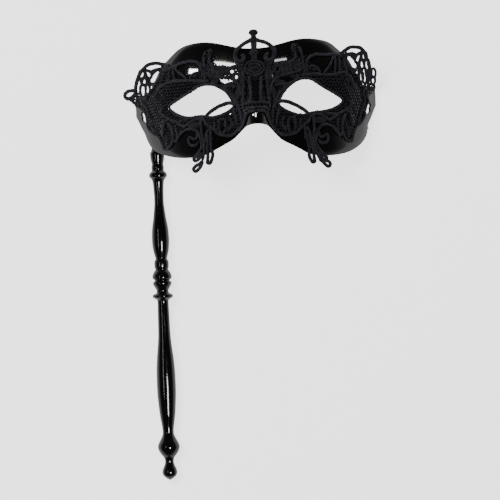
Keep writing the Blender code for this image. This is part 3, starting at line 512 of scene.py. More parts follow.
def grid_faces(rows, cols, wrap_rows=False, wrap_cols=False):
    """Quads of a grid of points, in the order row by row, and their corners' row and column."""
    i = np.arange(rows if wrap_rows else rows - 1)
    j = np.arange(cols if wrap_cols else cols - 1)
    i, j = np.meshgrid(i, j, indexing="ij")
    corner_rows = np.stack([i, i, i + 1, i + 1], axis=-1).reshape(-1, 4)
    corner_cols = np.stack([j, j + 1, j + 1, j], axis=-1).reshape(-1, 4)
    faces = (corner_rows % rows) * cols + corner_cols % cols
    return faces, corner_rows, corner_cols


class Surface:
    """Vertices, faces and corner coordinates gathered from several patches."""

    def __init__(self):
        self.verts = []
        self.faces = []
        self.corners = []
        self.count = 0

    def add(self, verts, face_sets, corner_sets):
        """One patch: its points, its face arrays and their corners' two coordinates."""
        self.verts.append(verts.reshape(-1, 3))
        self.faces.extend(faces + self.count for faces in face_sets)
        self.corners.extend(corners.reshape(-1, 2) for corners in corner_sets)
        self.count += len(self.verts[-1])

    def piece(self, name, materials, merge=0.0):
        """The patches as one object at the origin, shaded smooth, moved into the frame."""
        verts = np.vstack(self.verts) + np.array([*PLAN_SHIFT, 0.0])
        loops = np.concatenate([faces.ravel() for faces in self.faces])
        totals = np.concatenate([np.full(len(faces), faces.shape[1]) for faces in self.faces])
        starts = np.concatenate([[0], np.cumsum(totals)[:-1]])
        mesh = bpy.data.meshes.new(name)
        mesh.vertices.add(len(verts))
        mesh.vertices.foreach_set("co", verts.ravel())
        mesh.loops.add(len(loops))
        mesh.loops.foreach_set("vertex_index", loops.astype(np.int32))
        mesh.polygons.add(len(totals))
        mesh.polygons.foreach_set("loop_start", starts.astype(np.int32))
        layer = mesh.uv_layers.new(name="thread")
        layer.uv.foreach_set("vector", np.vstack(self.corners).ravel())
        mesh.update(calc_edges=True)
        mesh.shade_smooth()
        obj = bpy.data.objects.new(name, mesh)
        bpy.context.scene.collection.objects.link(obj)
        for material in materials:
            mesh.materials.append(material)
        return obj


def wobble(run, seed):
    """A slow uneven change along a thread: three waves of unlike length."""
    return (np.sin(run * 2900 + seed) + np.sin(run * 1310 + 2.3 * seed)
            + np.sin(run * 5230 + 4.1 * seed)) / 3.0


def add_cord(surface, line, width, lift, closed, seed):
    """A round stitched cord along a laid line: an oval ring at each point, swollen by the wraps.

    The ring's half width is half the cord's, its half height a share of that, and both swell and
    shrink a little along the run. At an open end the ring closes as a half ball does.
    """
    centre, up = lay_on(lace_height, line[:, 0], line[:, 1], np.full(len(line), lift))
    if closed:
        along = np.roll(centre, -1, axis=0) - np.roll(centre, 1, axis=0)
    else:
        along = np.gradient(centre, axis=0)
    step = np.linalg.norm(along, axis=1)
    along /= step[:, None]
    run = np.cumsum(step) / 2
    across = np.cross(along, up)
    across /= np.linalg.norm(across, axis=1)[:, None]
    up = np.cross(across, along)
    swell = 1.0 + 0.07 * wobble(run, seed)
    if not closed:
        to_end = np.minimum(run - run[0], run[-1] - run) / (width / 2)
        swell *= np.sqrt(1.0 - (1.0 - np.clip(to_end, 0.02, 1.0)) ** 2)
    turn = np.arange(CORD_SIDES) / CORD_SIDES * 2 * math.pi
    strand = 1.0 + 0.05 * np.cos(3 * turn[None, :] - run[:, None] / width * 5.2)
    reach = (swell[:, None] * strand)[..., None] * width / 2
    ring = (centre[:, None, :]
            + across[:, None, :] * reach * np.cos(turn)[None, :, None]
            + up[:, None, :] * reach * np.sin(turn)[None, :, None] * CORD_FLATNESS)
    faces, rows, cols = grid_faces(len(line), CORD_SIDES, closed, True)
    full = np.append(run, run[-1] + step[-1] / 2)
    corners = np.stack([full[rows], cols / CORD_SIDES], axis=-1)
    face_sets, corner_sets = [faces], [corners]
    if not closed:
        for row in (0, len(line) - 1):
            cap = np.arange(CORD_SIDES)[None, :] + row * CORD_SIDES
            cap = cap[:, ::-1] if row == 0 else cap
            face_sets.append(cap)
            corner_sets.append(np.stack([np.full(cap.shape, run[row]),
                                         (cap % CORD_SIDES) / CORD_SIDES], axis=-1))
    surface.add(ring, face_sets, corner_sets)


def add_pad(surface, centre, half_length, half_width, turn, rise, side):
    """A satin-stitched pad: a low dome on an oval, with fine stitches lying across it.

    The dome is an ellipsoid cut low, its height falling as a circle does; each stitch lifts it
    by a small wave along its length.
    """
    rows, cols = 15, 32
    fall = np.linspace(-0.5, 0.5, rows)[:, None] * math.pi
    round_ = np.arange(cols)[None, :] / cols * 2 * math.pi
    a = np.cos(fall) * np.cos(round_) * half_length
    b = np.cos(fall) * np.sin(round_) * half_width
    c = np.sin(fall) * np.where(fall > 0, rise, 0.3 * rise) * np.ones_like(round_)
    c = c * (1.0 + 0.10 * np.cos(a / STITCH_PITCH * 2 * math.pi) * (fall > 0))
    angle = math.radians(turn)
    x = centre[0] - side * (a * math.cos(angle) - b * math.sin(angle))
    y = centre[1] + a * math.sin(angle) + b * math.cos(angle)
    points, _ = lay_on(lace_height, x, y, CORD_LIFT + c)
    faces, face_rows, face_cols = grid_faces(rows, cols, False, True)
    if side > 0:
        faces = faces[:, ::-1]
        face_rows = face_rows[:, ::-1]
        face_cols = face_cols[:, ::-1]
    wide = np.concatenate([a, a[:, :1]], axis=1)
    deep = np.concatenate([b, b[:, :1]], axis=1)
    corners = np.stack([wide[face_rows, face_cols] * 0.5, deep[face_rows, face_cols] * 100],
                       axis=-1)
    surface.add(points, [faces], [corners])


def net_edges(pitch):
    """Ends of the threads of a six-sided net over the whole mask, in metres of unrolled width.

    Each knot sends a thread to three neighbours, and every knot is pushed a little aside by two
    waves, so that no two meshes are quite alike.
    """
    side = pitch / math.sqrt(3.0)
    i, j = np.meshgrid(np.arange(-60, 61), np.arange(-30, 31), indexing="ij")
    knots = np.stack([(i * pitch + j * pitch / 2), j * pitch * math.sqrt(3.0) / 2], axis=-1)
    knots = knots.reshape(-1, 2)
    knots = knots[(np.abs(knots[:, 0]) < 0.125) & (np.abs(knots[:, 1]) < 0.05)]
    arms = np.array([(0.0, side), (-pitch / 2, -side / 2), (pitch / 2, -side / 2)])
    start = np.repeat(knots, 3, axis=0)
    end = start + np.tile(arms, (len(knots), 1))
    shifted = []
    for p in (start, end):
        sway = np.stack([np.sin(p[:, 0] * 1913 + p[:, 1] * 947),
                         np.sin(p[:, 0] * 1171 - p[:, 1] * 2203)], axis=1)
        shifted.append(p + sway * NET_JITTER)
    return shifted


def unrolled_to_plan(points):
    """Plan places of points given by their way along the wrapped form from the middle."""
    x = np.linspace(0.0, 0.1, 400)
    z = form_height(x, np.zeros_like(x)) - NOSE_RISE * ease((NOSE_TOP - 0 * x) / NOSE_RUN) \
        * np.exp(-(x / NOSE_HALF_WIDTH) ** 2)
    way = np.concatenate([[0.0], np.cumsum(np.hypot(np.diff(x), np.diff(z)))])
    plan = np.interp(np.abs(points[:, 0]), way, x) * np.sign(points[:, 0])
    return np.stack([plan, points[:, 1]], axis=1)


def add_net(surface, start, end):
    """Threads between knots: five-point tubes that thicken towards the knots."""
    share = np.linspace(-0.08, 1.08, 5)[None, :, None]
    line = start[:, None, :] + (end - start)[:, None, :] * share
    centre, up = lay_on(lace_height, line[..., 0], line[..., 1],
                        np.full(line.shape[:2], NET_LIFT))
    along = np.gradient(centre, axis=1)
    along /= np.linalg.norm(along, axis=2, keepdims=True)
    across = np.cross(along, up)
    across /= np.linalg.norm(across, axis=2, keepdims=True)
    sides = 6
    turn = np.arange(sides) / sides * 2 * math.pi
    swell = 1.0 + 0.35 * (2.0 * share[..., 0] - 1.0) ** 2
    reach = swell[..., None, None] * NET_THREAD / 2
    rings = (centre[:, :, None, :]
             + across[:, :, None, :] * reach * np.cos(turn)[None, None, :, None]
             + up[:, :, None, :] * reach * np.sin(turn)[None, None, :, None] * 0.7)
    count, rows = rings.shape[:2]
    faces, face_rows, face_cols = grid_faces(rows, sides, False, True)
    caps = np.stack([np.arange(sides)[::-1], np.arange(sides) + (rows - 1) * sides])
    base = (np.arange(count) * rows * sides)[:, None, None]
    length = np.linalg.norm(end - start, axis=1)[:, None, None]
    quads = (faces[None] + base).reshape(-1, 4)
    quad_run = length * share[0, :, 0][face_rows][None]
    quad_corners = np.stack([quad_run, np.broadcast_to(face_cols / sides, quad_run.shape)],
                            axis=-1)
    ends = (caps[None] + base).reshape(-1, sides)
    surface.add(rings, [quads, ends], [quad_corners, np.zeros((len(ends), sides, 2))])


def polar_radius(loop, centre, angles):
    """Distance from a centre to a loop at given angles, for a loop seen whole from there."""
    off = loop - centre
    at = np.arctan2(off[:, 1], off[:, 0])
    order = np.argsort(at)
    at, reach = at[order], np.linalg.norm(off, axis=1)[order]
    at = np.concatenate([at - 2 * math.pi, at, at + 2 * math.pi])
    reach = np.tile(reach, 3)
    return np.interp(angles, at, reach)


def nearest(points, line):
    """Distance of each point from the nearest point of a finely drawn line."""
    out = np.full(len(points), np.inf)
    for part in np.array_split(np.arange(len(line)), 8):
        d2 = ((points[:, None, :] - line[None, part, :]) ** 2).sum(axis=2)
        out = np.minimum(out, d2.min(axis=1))
    return np.sqrt(out)


def rest_limit(y):
    """Greatest x of the shell at each y, where its wall's inner edge meets the table."""
    low, high = np.full_like(y, 0.06), np.full_like(y, 0.095)
    for _ in range(30):
        middle = (low + high) / 2
        n = normal_of(form_height, middle, y)
        above = form_height(middle, y) > n[:, 2] * SHELL_WALL
        low = np.where(above, middle, low)
        high = np.where(above, high, middle)
    return low


def grown(loop, by):
    """A closed loop moved outwards by a distance."""
    step = np.roll(loop, -1, axis=0) - np.roll(loop, 1, axis=0)
    step /= np.linalg.norm(step, axis=1)[:, None]
    out = np.stack([step[:, 1], -step[:, 0]], axis=1)
    area = np.sum(loop[:, 0] * np.roll(loop[:, 1], -1) - np.roll(loop[:, 0], -1) * loop[:, 1])
    return loop + out * by * (1.0 if area > 0 else -1.0)


def shell_patch(surface, hole, rim, centre, side, edge, eye):
    """One ring of the shell between a hole and its outer rim, both seen whole from a centre.

    Rows run from hole to rim, closer together near both. The point of a row lies that share of
    the way along a ray; its height is the form's, less a roll that grows as the square towards
    the shell's edge and the eye's edge.
    """
    angles = np.arctan2(rim[:, 1] - centre[1], rim[:, 0] - centre[0])
    reach = polar_radius(hole, centre, angles)
    inner = centre + np.stack([np.cos(angles), np.sin(angles)], axis=1) * reach[:, None]
    share = 0.5 - 0.5 * np.cos(np.linspace(0.0, math.pi, 30))
    plan = inner[None] + (rim - inner)[None] * share[:, None, None]
    flat = plan.reshape(-1, 2)
    roll = EDGE_ROLL * np.maximum(1.0 - nearest(flat, edge) / EDGE_ROLL_WIDTH, 0.0) ** 2
    roll += 0.4 * EDGE_ROLL * np.maximum(1.0 - nearest(flat, eye) / 0.002, 0.0) ** 2
    x, y = flat[:, 0], flat[:, 1]
    height = form_height(x, y)
    points = np.stack([x * side, y, height - roll * ease(height / ROLL_CLEAR_OF_TABLE)], axis=1)
    faces, rows, cols = grid_faces(len(share), len(rim), False, True)
    corners = np.stack([rows / 30.0, cols / len(rim)], axis=-1)
    a, b, c = (points[faces[:, k]] for k in range(3))
    if np.cross(b - a, c - a)[:, 2].sum() < 0:
        faces, corners = faces[:, ::-1], corners[:, ::-1]
    surface.add(points, [faces], [corners])


def build_shell():
    """The moulded shell: on each half a ring round the eye and a ring round the ribbon slot."""
    scale = np.array([HALF_WIDTH, HEIGHT])
    surface = Surface()
    for side in (-1, 1):
        outline = smooth_line(place(SHELL_OUTLINE, side, CHEEK_SHIFT) * (side, 1), 0.0004)
        outline[:, 0] = np.minimum(outline[:, 0], rest_limit(outline[:, 1]))
        seam = smooth_line(np.array(TEMPLE_SEAM) * scale, 0.0008)
        top = np.argmin(((outline - seam[0]) ** 2).sum(axis=1))
        foot = np.argmin(((outline - seam[-1]) ** 2).sum(axis=1))
        bend = np.linspace(0.0, 1.0, len(seam))[:, None]
        seam += (outline[top] - seam[0]) * (1 - bend) + (outline[foot] - seam[-1]) * bend
        middle = np.stack([np.zeros(50), np.linspace(outline[-1, 1], outline[0, 1], 50)], axis=1)
        main_rim = np.vstack([outline[:top:2], seam[:-1], outline[foot::2][:-1], middle[:-1]])
        temple_rim = np.vstack([outline[top:foot:2], seam[::-1][:-1]])
        eye = smooth_line(place(EYE_OUTLINE, side) * (side, 1), 0.0006, closed=True)
        eye = grown(eye, EYE_HEM)
        t = np.arange(64) / 64 * 2 * math.pi
        along = (np.sin(t) * SLOT_WIDTH
                 + np.sign(np.round(np.sin(t), 6)) * (SLOT_LENGTH - SLOT_WIDTH)) / 2
        slot = np.stack([SLOT_U * HALF_WIDTH + np.cos(t) * SLOT_WIDTH / 2 + SLOT_LEAN * along,
                         SLOT_V * HEIGHT + along], axis=1)
        shell_patch(surface, eye, main_rim, np.array(EYE_CENTRE) * scale, side, outline, eye)
        shell_patch(surface, slot, temple_rim, np.array([SLOT_U, SLOT_V]) * scale, side,
                    outline, slot + 1.0)
    shell = surface.piece("shell", [SHELL_GLOSS, SHELL_INSIDE])
    weld = shell.modifiers.new("weld", "WELD")
    weld.merge_threshold = 0.00002
    wall = shell.modifiers.new("wall", "SOLIDIFY")
    wall.thickness = SHELL_WALL
    wall.offset = -1.0
    wall.material_offset = 1
    wall.material_offset_rim = 0
    bevel = shell.modifiers.new("edges", "BEVEL")
    bevel.width = 0.0003
    bevel.segments = 2
    bevel.limit_method = "ANGLE"
    bevel.angle_limit = math.radians(50)
    return shell


def wing_gap(points, side):
    """The smooth edge of a gap in the wing, where its cord runs."""
    return grown(smooth_line(place(points, side), CORD_STEP, closed=True), GAP_CORD / 2)


def net_region(points, side):
    """Which plan points lie on the net: in its edge, but in no eye opening or window."""
    kept = inside(points, NET_EDGE)
    holes = [smooth_line(place(EYE_OUTLINE, side), 0.001, closed=True)]
    holes.extend(place(window, side) for window in NET_WINDOWS)
    holes.extend(wing_gap(loop, side) for _, loop in WING_GAPS)
    for hole in holes:
        kept &= ~inside(points, hole)
    return kept


def build_lace():
    """Net, cords and satin pads of each half."""
    start, end = (unrolled_to_plan(p) for p in net_edges(NET_PITCH))
    middle = (start + end) / 2
    pieces = []
    for side, half in ((-1, "left"), (1, "right")):
        on_side = middle[:, 0] * side > 0
        kept = on_side & net_region(middle, side)
        net = Surface()
        add_net(net, start[kept], end[kept])
        pieces.append(net.piece("net_" + half, [NET_THREADS]))
        cords = Surface()
        for index, (name, width, closed, points) in enumerate(CORDS):
            if side > 0 and name in LEFT_LEAF_NAMES:
                continue
            line = smooth_line(place(points, side), CORD_STEP, closed)
            add_cord(cords, line, width * CORD_WIDTH, CORD_LIFT, closed, index + side)
        for name, points in WING_GAPS:
            add_cord(cords, wing_gap(points, side), GAP_CORD, CORD_LIFT, True, len(name) + side)
        for name, points in RIGHT_LEAF if side > 0 else ():
            ring = smooth_line(np.array(points) * (HALF_WIDTH, HEIGHT), CORD_STEP, closed=True)
            add_cord(cords, ring, GAP_CORD, CORD_LIFT, True, len(name))
        eye = smooth_line(place(EYE_OUTLINE, side), CORD_STEP, closed=True)
        add_cord(cords, grown(eye, 0.0004), 0.95 * CORD_WIDTH, CORD_LIFT, True, 3.0 + side)
        pieces.append(cords.piece("cords_" + half, [CORD_THREADS]))
        pads = Surface()
        for _, u, v, half_length, half_width, turn, rise in PADS:
            centre = place([(u, v)], side)[0]
            add_pad(pads, centre, half_length, half_width, turn, rise, side)
        pieces.append(pads.piece("pads_" + half, [SATIN]))
    return pieces


def build_crest():
    """The medallion, the satin dot above it, the double stem and the finial."""
    scale = np.array([HALF_WIDTH, HEIGHT])
    cords = Surface()
    t = np.arange(24) / 24 * 2 * math.pi
    for size_u, size_v, width in ((0.078, 0.062, 0.75), (0.050, 0.038, 0.60)):
        ring = np.stack([np.cos(t) * size_u, 0.287 + np.sin(t) * size_v], axis=1) * scale
        add_cord(cords, smooth_line(ring, CORD_STEP, True), width * CORD_WIDTH, CORD_LIFT, True,
                 size_u * 100)
    for side in (-1, 1):
        stem = np.array([(0.013, 0.345), (0.011, 0.40), (0.013, 0.46), (0.015, 0.52),
                         (0.010, 0.580)]) * scale * (side, 1)
        add_cord(cords, smooth_line(stem, CORD_STEP), 0.95 * CORD_WIDTH, CORD_LIFT, False,
                 7.0 + side)
    pads = Surface()
    for u, v, half_length, half_width, turn, rise in CREST_PADS:
        centre = np.array([u, v]) * scale
        add_pad(pads, centre, half_length, half_width, turn, rise, -1)
    return [cords.piece("crest_cords", [CORD_THREADS]), pads.piece("crest_pads", [SATIN])]


def handle_axis(y):
    """Height of the handle's axis above the table: from the shell's edge down to the ball."""
    start = HANDLE_START_V * HEIGHT
    edge_height = form_height(HANDLE_U * HALF_WIDTH, start) - TANG_DEPTH
    share = (start - y) / (BALL_SHARE * HANDLE_RUN)
    return edge_height + (BALL_RADIUS + LACQUER_BUILD - edge_height) * share


def build_handle():
    """The turned handle: a smooth profile carried round the axis from the tang to the end."""
    profile = [(HANDLE_TANG, 0.0001), (HANDLE_TANG, 0.85 * TANG_RADIUS),
               (HANDLE_TANG - 0.0006, TANG_RADIUS), (TANG_SHOULDER, TANG_RADIUS)]
    profile += [(-share * HANDLE_RUN * 1.004, radius * BALL_RADIUS + LACQUER_BUILD)
                for share, radius in HANDLE_TURNING]
    profile += [(-HANDLE_RUN * 1.004 - LACQUER_BUILD, 0.0001)]
    line = smooth_line(profile, 0.0005)
    line[:, 1] = np.maximum(line[:, 1], 0.00005)
    start = HANDLE_START_V * HEIGHT
    tilt = math.atan2(handle_axis(start - HANDLE_RUN) - handle_axis(start), HANDLE_RUN)
    sides = 56
    turn = np.arange(sides) / sides * 2 * math.pi
    along = np.array([0.0, math.cos(tilt), -math.sin(tilt)])
    across = np.array([1.0, 0.0, 0.0])
    up = np.cross(across, along)
    foot = np.array([HANDLE_U * HALF_WIDTH, start, handle_axis(start)])
    points = (foot + line[:, 0][:, None, None] * along
              + line[:, 1][:, None, None] * (np.cos(turn)[None, :, None] * across
                                             + np.sin(turn)[None, :, None] * up))
    faces, rows, cols = grid_faces(len(line), sides, False, True)
    corners = np.stack([line[:, 0][rows], cols / sides], axis=-1)
    caps = np.stack([np.arange(sides)[::-1], np.arange(sides) + (len(line) - 1) * sides])
    surface = Surface()
    surface.add(points, [faces[:, ::-1], caps[:, ::-1]],
                [corners[:, ::-1], np.zeros((2, sides, 2))])
    return surface.piece("turned_handle", [HANDLE_GLOSS])


def build_glue():
    """A bead of glue over the tang: a bed between shell and tang with a soft, uneven rim."""
    rows, cols = 33, 40
    fall = np.linspace(-0.5, 0.5, rows)[:, None] * math.pi
    round_ = np.arange(cols)[None, :] / cols * 2 * math.pi
    ragged = 1.0 + 0.06 * np.sin(3 * round_ + 0.7) + 0.04 * np.sin(7 * round_)
    flat = np.cos(fall) ** 0.45
    low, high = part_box("glue_bed")
    middle = (np.array(low[:2]) + np.array(high[:2])) / 2 - PLAN_SHIFT
    half = (np.array(high[:2]) - np.array(low[:2])) / 2
    x = middle[0] + flat * np.cos(round_) * half[0] * ragged
    y = middle[1] + flat * np.sin(round_) * half[1] * ragged
    depth = -(SHELL_WALL + 0.0001) - (0.5 - 0.5 * np.sin(fall)) * 0.0042
    points, _ = lay_on(form_height, x, y, depth * np.ones_like(x))
    faces, face_rows, face_cols = grid_faces(rows, cols, False, True)
    corners = np.stack([face_rows / rows, face_cols / cols], axis=-1)
    surface = Surface()
    surface.add(points, [faces], [corners])
    return surface.piece("glue", [GLUE])


def node(tree, kind, **values):
    """A shader node with its settings and the values of its unlinked sockets."""
    made = tree.nodes.new(kind)
    for key, value in values.items():
        if key in made.inputs:
            made.inputs[key].default_value = value
        else:
            setattr(made, key, value)
    return made


def group(name, inputs, outputs):
    """An empty shader node group with named sockets: name, kind and default value."""
    tree = bpy.data.node_groups.new(name, "ShaderNodeTree")
    for title, kind, value in inputs:
        socket = tree.interface.new_socket(title, in_out="INPUT", socket_type=kind)
        if value is not None:
            socket.default_value = value
    for title, kind in outputs:
        tree.interface.new_socket(title, in_out="OUTPUT", socket_type=kind)
    return tree, tree.nodes.new("NodeGroupInput"), tree.nodes.new("NodeGroupOutput")


def moulding_group():
    """Moulded gloss: a slow swim of the surface, fine scratches and a dull haze in patches."""
    tree, given, out = group(
        "moulded_gloss",
        [("Swim scale", "NodeSocketFloat", 60.0), ("Scratch scale", "NodeSocketFloat", 900.0),
         ("Base roughness", "NodeSocketFloat", 0.08), ("Haze", "NodeSocketFloat", 0.10)],
        [("Roughness", "NodeSocketFloat"), ("Height", "NodeSocketFloat")])
    place_ = node(tree, "ShaderNodeTexCoord")
    swim = node(tree, "ShaderNodeTexNoise", Detail=2.0, Roughness=0.5)
    stretch = node(tree, "ShaderNodeMapping", Scale=(1.0, 0.08, 0.4))
    scratch = node(tree, "ShaderNodeTexNoise", Detail=3.0, Roughness=0.7)
    haze = node(tree, "ShaderNodeTexNoise", Scale=38.0, Detail=5.0, Roughness=0.62)
    link = tree.links.new
    link(place_.outputs["Object"], swim.inputs["Vector"])
    link(given.outputs["Swim scale"], swim.inputs["Scale"])
    link(place_.outputs["Object"], stretch.inputs["Vector"])
    link(stretch.outputs["Vector"], scratch.inputs["Vector"])
    link(given.outputs["Scratch scale"], scratch.inputs["Scale"])
    link(place_.outputs["Object"], haze.inputs["Vector"])
    thin = node(tree, "ShaderNodeMapRange", **{"From Min": 0.62, "From Max": 0.78})
    link(scratch.outputs["Fac"], thin.inputs["Value"])
    dull = node(tree, "ShaderNodeMapRange", **{"From Min": 0.45, "From Max": 0.8})
    link(haze.outputs["Fac"], dull.inputs["Value"])
    marks = node(tree, "ShaderNodeMath", operation="MAXIMUM")
    link(thin.outputs["Result"], marks.inputs[0])
    link(dull.outputs["Result"], marks.inputs[1])
    rough = node(tree, "ShaderNodeMath", operation="MULTIPLY_ADD")
    link(marks.outputs[0], rough.inputs[0])
    link(given.outputs["Haze"], rough.inputs[1])
    link(given.outputs["Base roughness"], rough.inputs[2])
    link(rough.outputs[0], out.inputs["Roughness"])
    tall = node(tree, "ShaderNodeMath", operation="MULTIPLY_ADD")
    link(thin.outputs["Result"], tall.inputs[0])
    tall.inputs[1].default_value = -0.06
    link(swim.outputs["Fac"], tall.inputs[2])
    link(tall.outputs[0], out.inputs["Height"])
    return tree


def stitch_group():
    """Thread: fine wraps round a cord from its run and turn, with a broken, fuzzy surface. Its colour is painted
    shade and painted highlight: Dark in the grooves between the wraps and Light on their crests, broken by a
    random fuzz and patch tone.
    """
    tree, given, out = group(
        "thread_wraps",
        [("Dark", "NodeSocketColor", (0.010, 0.009, 0.012, 1.0)),
         ("Light", "NodeSocketColor", (0.040, 0.037, 0.046, 1.0)),
         ("Wraps per metre", "NodeSocketFloat", 2600.0), ("Slant", "NodeSocketFloat", 2.0)],
        [("Colour", "NodeSocketColor"), ("Height", "NodeSocketFloat")])
    coord = node(tree, "ShaderNodeTexCoord")
    split = node(tree, "ShaderNodeSeparateXYZ")
    link = tree.links.new
    link(coord.outputs["UV"], split.inputs[0])
    run = node(tree, "ShaderNodeMath", operation="MULTIPLY")
    link(split.outputs["X"], run.inputs[0])
    link(given.outputs["Wraps per metre"], run.inputs[1])
    slant = node(tree, "ShaderNodeMath", operation="MULTIPLY_ADD")
    link(split.outputs["Y"], slant.inputs[0])
    link(given.outputs["Slant"], slant.inputs[1])
    link(run.outputs[0], slant.inputs[2])
    turns = node(tree, "ShaderNodeMath", operation="MULTIPLY")
    link(slant.outputs[0], turns.inputs[0])
    turns.inputs[1].default_value = 2 * math.pi
    wave = node(tree, "ShaderNodeMath", operation="SINE")
    link(turns.outputs[0], wave.inputs[0])
    fuzz = node(tree, "ShaderNodeTexNoise", Scale=3200.0, Detail=4.0, Roughness=0.7)
    link(coord.outputs["Object"], fuzz.inputs["Vector"])
    patch = node(tree, "ShaderNodeTexNoise", Scale=240.0, Detail=3.0, Roughness=0.6)
    link(coord.outputs["Object"], patch.inputs["Vector"])
    tall = node(tree, "ShaderNodeMath", operation="MULTIPLY_ADD")
    link(wave.outputs[0], tall.inputs[0])
    tall.inputs[1].default_value = 0.30
    link(fuzz.outputs["Fac"], tall.inputs[2])
    link(tall.outputs[0], out.inputs["Height"])
    # Painted shade and painted highlight: the colour follows the wraps' height, dark in the grooves and light on
    # the crests, times a random patch tone
    wrap_shade_tone = node(tree, "ShaderNodeMath", operation="MULTIPLY")
    link(tall.outputs[0], wrap_shade_tone.inputs[0])
    link(patch.outputs["Fac"], wrap_shade_tone.inputs[1])
    ramp = node(tree, "ShaderNodeMapRange", **{"From Min": 0.10, "From Max": 0.45})
    link(wrap_shade_tone.outputs[0], ramp.inputs["Value"])
    mix = node(tree, "ShaderNodeMix", data_type="RGBA")
    link(ramp.outputs["Result"], mix.inputs["Factor"])
    link(given.outputs["Dark"], mix.inputs["A"])
    link(given.outputs["Light"], mix.inputs["B"])
    link(mix.outputs["Result"], out.inputs["Colour"])
    return tree


def new_material(name):
    """A material with its Principled shader."""
    material = bpy.data.materials.new(name)
    material.use_nodes = True
    return material, material.node_tree, material.node_tree.nodes["Principled BSDF"]


def gloss_material(name, colour, roughness, haze, swim, bump):
    """Black gloss plastic or lacquer over the moulding group, its height fed to a bump."""
    material, tree, shader = new_material(name)
    marks = node(tree, "ShaderNodeGroup", node_tree=MOULDING)
    marks.inputs["Swim scale"].default_value = swim
    marks.inputs["Base roughness"].default_value = roughness
    marks.inputs["Haze"].default_value = haze
    relief = node(tree, "ShaderNodeBump", Strength=bump, Distance=0.0006)
    shader.inputs["Base Color"].default_value = (*colour, 1.0)
    shader.inputs["IOR"].default_value = 1.5
    tree.links.new(marks.outputs["Roughness"], shader.inputs["Roughness"])
    tree.links.new(marks.outputs["Height"], relief.inputs["Height"])
    tree.links.new(relief.outputs["Normal"], shader.inputs["Normal"])
    return material


def thread_material(name, dark, light, wraps, slant, roughness, sheen):
    """Thread over the stitch group, with the soft bright edge that loose fibres give."""
    material, tree, shader = new_material(name)
    stitches = node(tree, "ShaderNodeGroup", node_tree=STITCHES)
    stitches.inputs["Dark"].default_value = (*dark, 1.0)
    stitches.inputs["Light"].default_value = (*light, 1.0)
    stitches.inputs["Wraps per metre"].default_value = wraps
    stitches.inputs["Slant"].default_value = slant
    relief = node(tree, "ShaderNodeBump", Strength=0.7, Distance=0.00018)
    shader.inputs["Roughness"].default_value = roughness
    shader.inputs["Sheen Weight"].default_value = sheen
    shader.inputs["Sheen Roughness"].default_value = 0.5
    shader.inputs["Sheen Tint"].default_value = (0.75, 0.72, 0.82, 1.0)
    shader.inputs["Specular IOR Level"].default_value = 0.04
    tree.links.new(stitches.outputs["Colour"], shader.inputs["Base Color"])
    tree.links.new(stitches.outputs["Height"], relief.inputs["Height"])
    tree.links.new(relief.outputs["Normal"], shader.inputs["Normal"])
    return material


def glue_material():
    """Cooled clear glue, cloudy inside, its skin rippled."""
    material, tree, shader = new_material("cooled_glue")
    coord = node(tree, "ShaderNodeTexCoord")
    ripple = node(tree, "ShaderNodeTexNoise", Scale=420.0, Detail=2.0)
    cloud = node(tree, "ShaderNodeTexNoise", Scale=150.0, Detail=3.0)
    ramp = node(tree, "ShaderNodeMix", data_type="RGBA")
    ramp.inputs["A"].default_value = (0.42, 0.39, 0.31, 1.0)
    ramp.inputs["B"].default_value = (0.62, 0.60, 0.52, 1.0)
    relief = node(tree, "ShaderNodeBump", Strength=0.5, Distance=0.0006)
    tree.links.new(coord.outputs["Object"], ripple.inputs["Vector"])
    tree.links.new(coord.outputs["Object"], cloud.inputs["Vector"])
    tree.links.new(cloud.outputs["Fac"], ramp.inputs["Factor"])
    tree.links.new(ramp.outputs["Result"], shader.inputs["Base Color"])
    tree.links.new(ripple.outputs["Fac"], relief.inputs["Height"])
    tree.links.new(relief.outputs["Normal"], shader.inputs["Normal"])
    shader.inputs["Roughness"].default_value = 0.28
    shader.inputs["Subsurface Weight"].default_value = 0.4
    shader.inputs["Subsurface Radius"].default_value = (0.004, 0.003, 0.002)
    return material


def build_floor():
    """A wide pale table top that is lit a little from within, so that it reads white."""
    mesh = bpy.data.meshes.new("table_top")
    size = 3.0
    mesh.from_pydata([(-size, -size, 0.0), (size, -size, 0.0), (size, size, 0.0),
                      (-size, size, 0.0)], [], [(0, 1, 2, 3)])
    floor = bpy.data.objects.new("table_top", mesh)
    bpy.context.scene.collection.objects.link(floor)
    material, tree, shader = new_material("white_table")
    seen = node(tree, "ShaderNodeLightPath")
    glow = node(tree, "ShaderNodeMapRange", **{"To Min": FLOOR_GLOW, "To Max": FLOOR_GLOW_SEEN})
    shader.inputs["Base Color"].default_value = (0.9, 0.9, 0.9, 1.0)
    shader.inputs["Roughness"].default_value = 0.9
    shader.inputs["Emission Color"].default_value = (1.0, 1.0, 1.0, 1.0)
    tree.links.new(seen.outputs["Is Camera Ray"], glow.inputs["Value"])
    tree.links.new(glow.outputs["Result"], shader.inputs["Emission Strength"])
    mesh.materials.append(material)


def area_light(name, power, size, way, distance, glossy_only=True):
    """A soft rectangular light, its way given as slopes x and y, level across, facing the mask.

    It shows in glossy surfaces alone, or lights cloth alone.
    """
    data = bpy.data.lights.new(name, "AREA")
    data.shape = "RECTANGLE"
    data.size, data.size_y = size
    data.energy = power
    light = bpy.data.objects.new(name, data)
    bpy.context.scene.collection.objects.link(light)
    way = np.array([*way, 1.0])
    way /= np.linalg.norm(way)
    light.location = np.array([*PLAN_SHIFT, 0.05]) + way * distance
    across = np.cross([0.0, 1.0, 0.0], way)
    across /= np.linalg.norm(across)
    turn = Matrix(np.stack([across, np.cross(way, across), way], axis=1).tolist())
    light.rotation_euler = turn.to_euler()
    light.visible_diffuse = not glossy_only
    light.visible_glossy = glossy_only
    return light


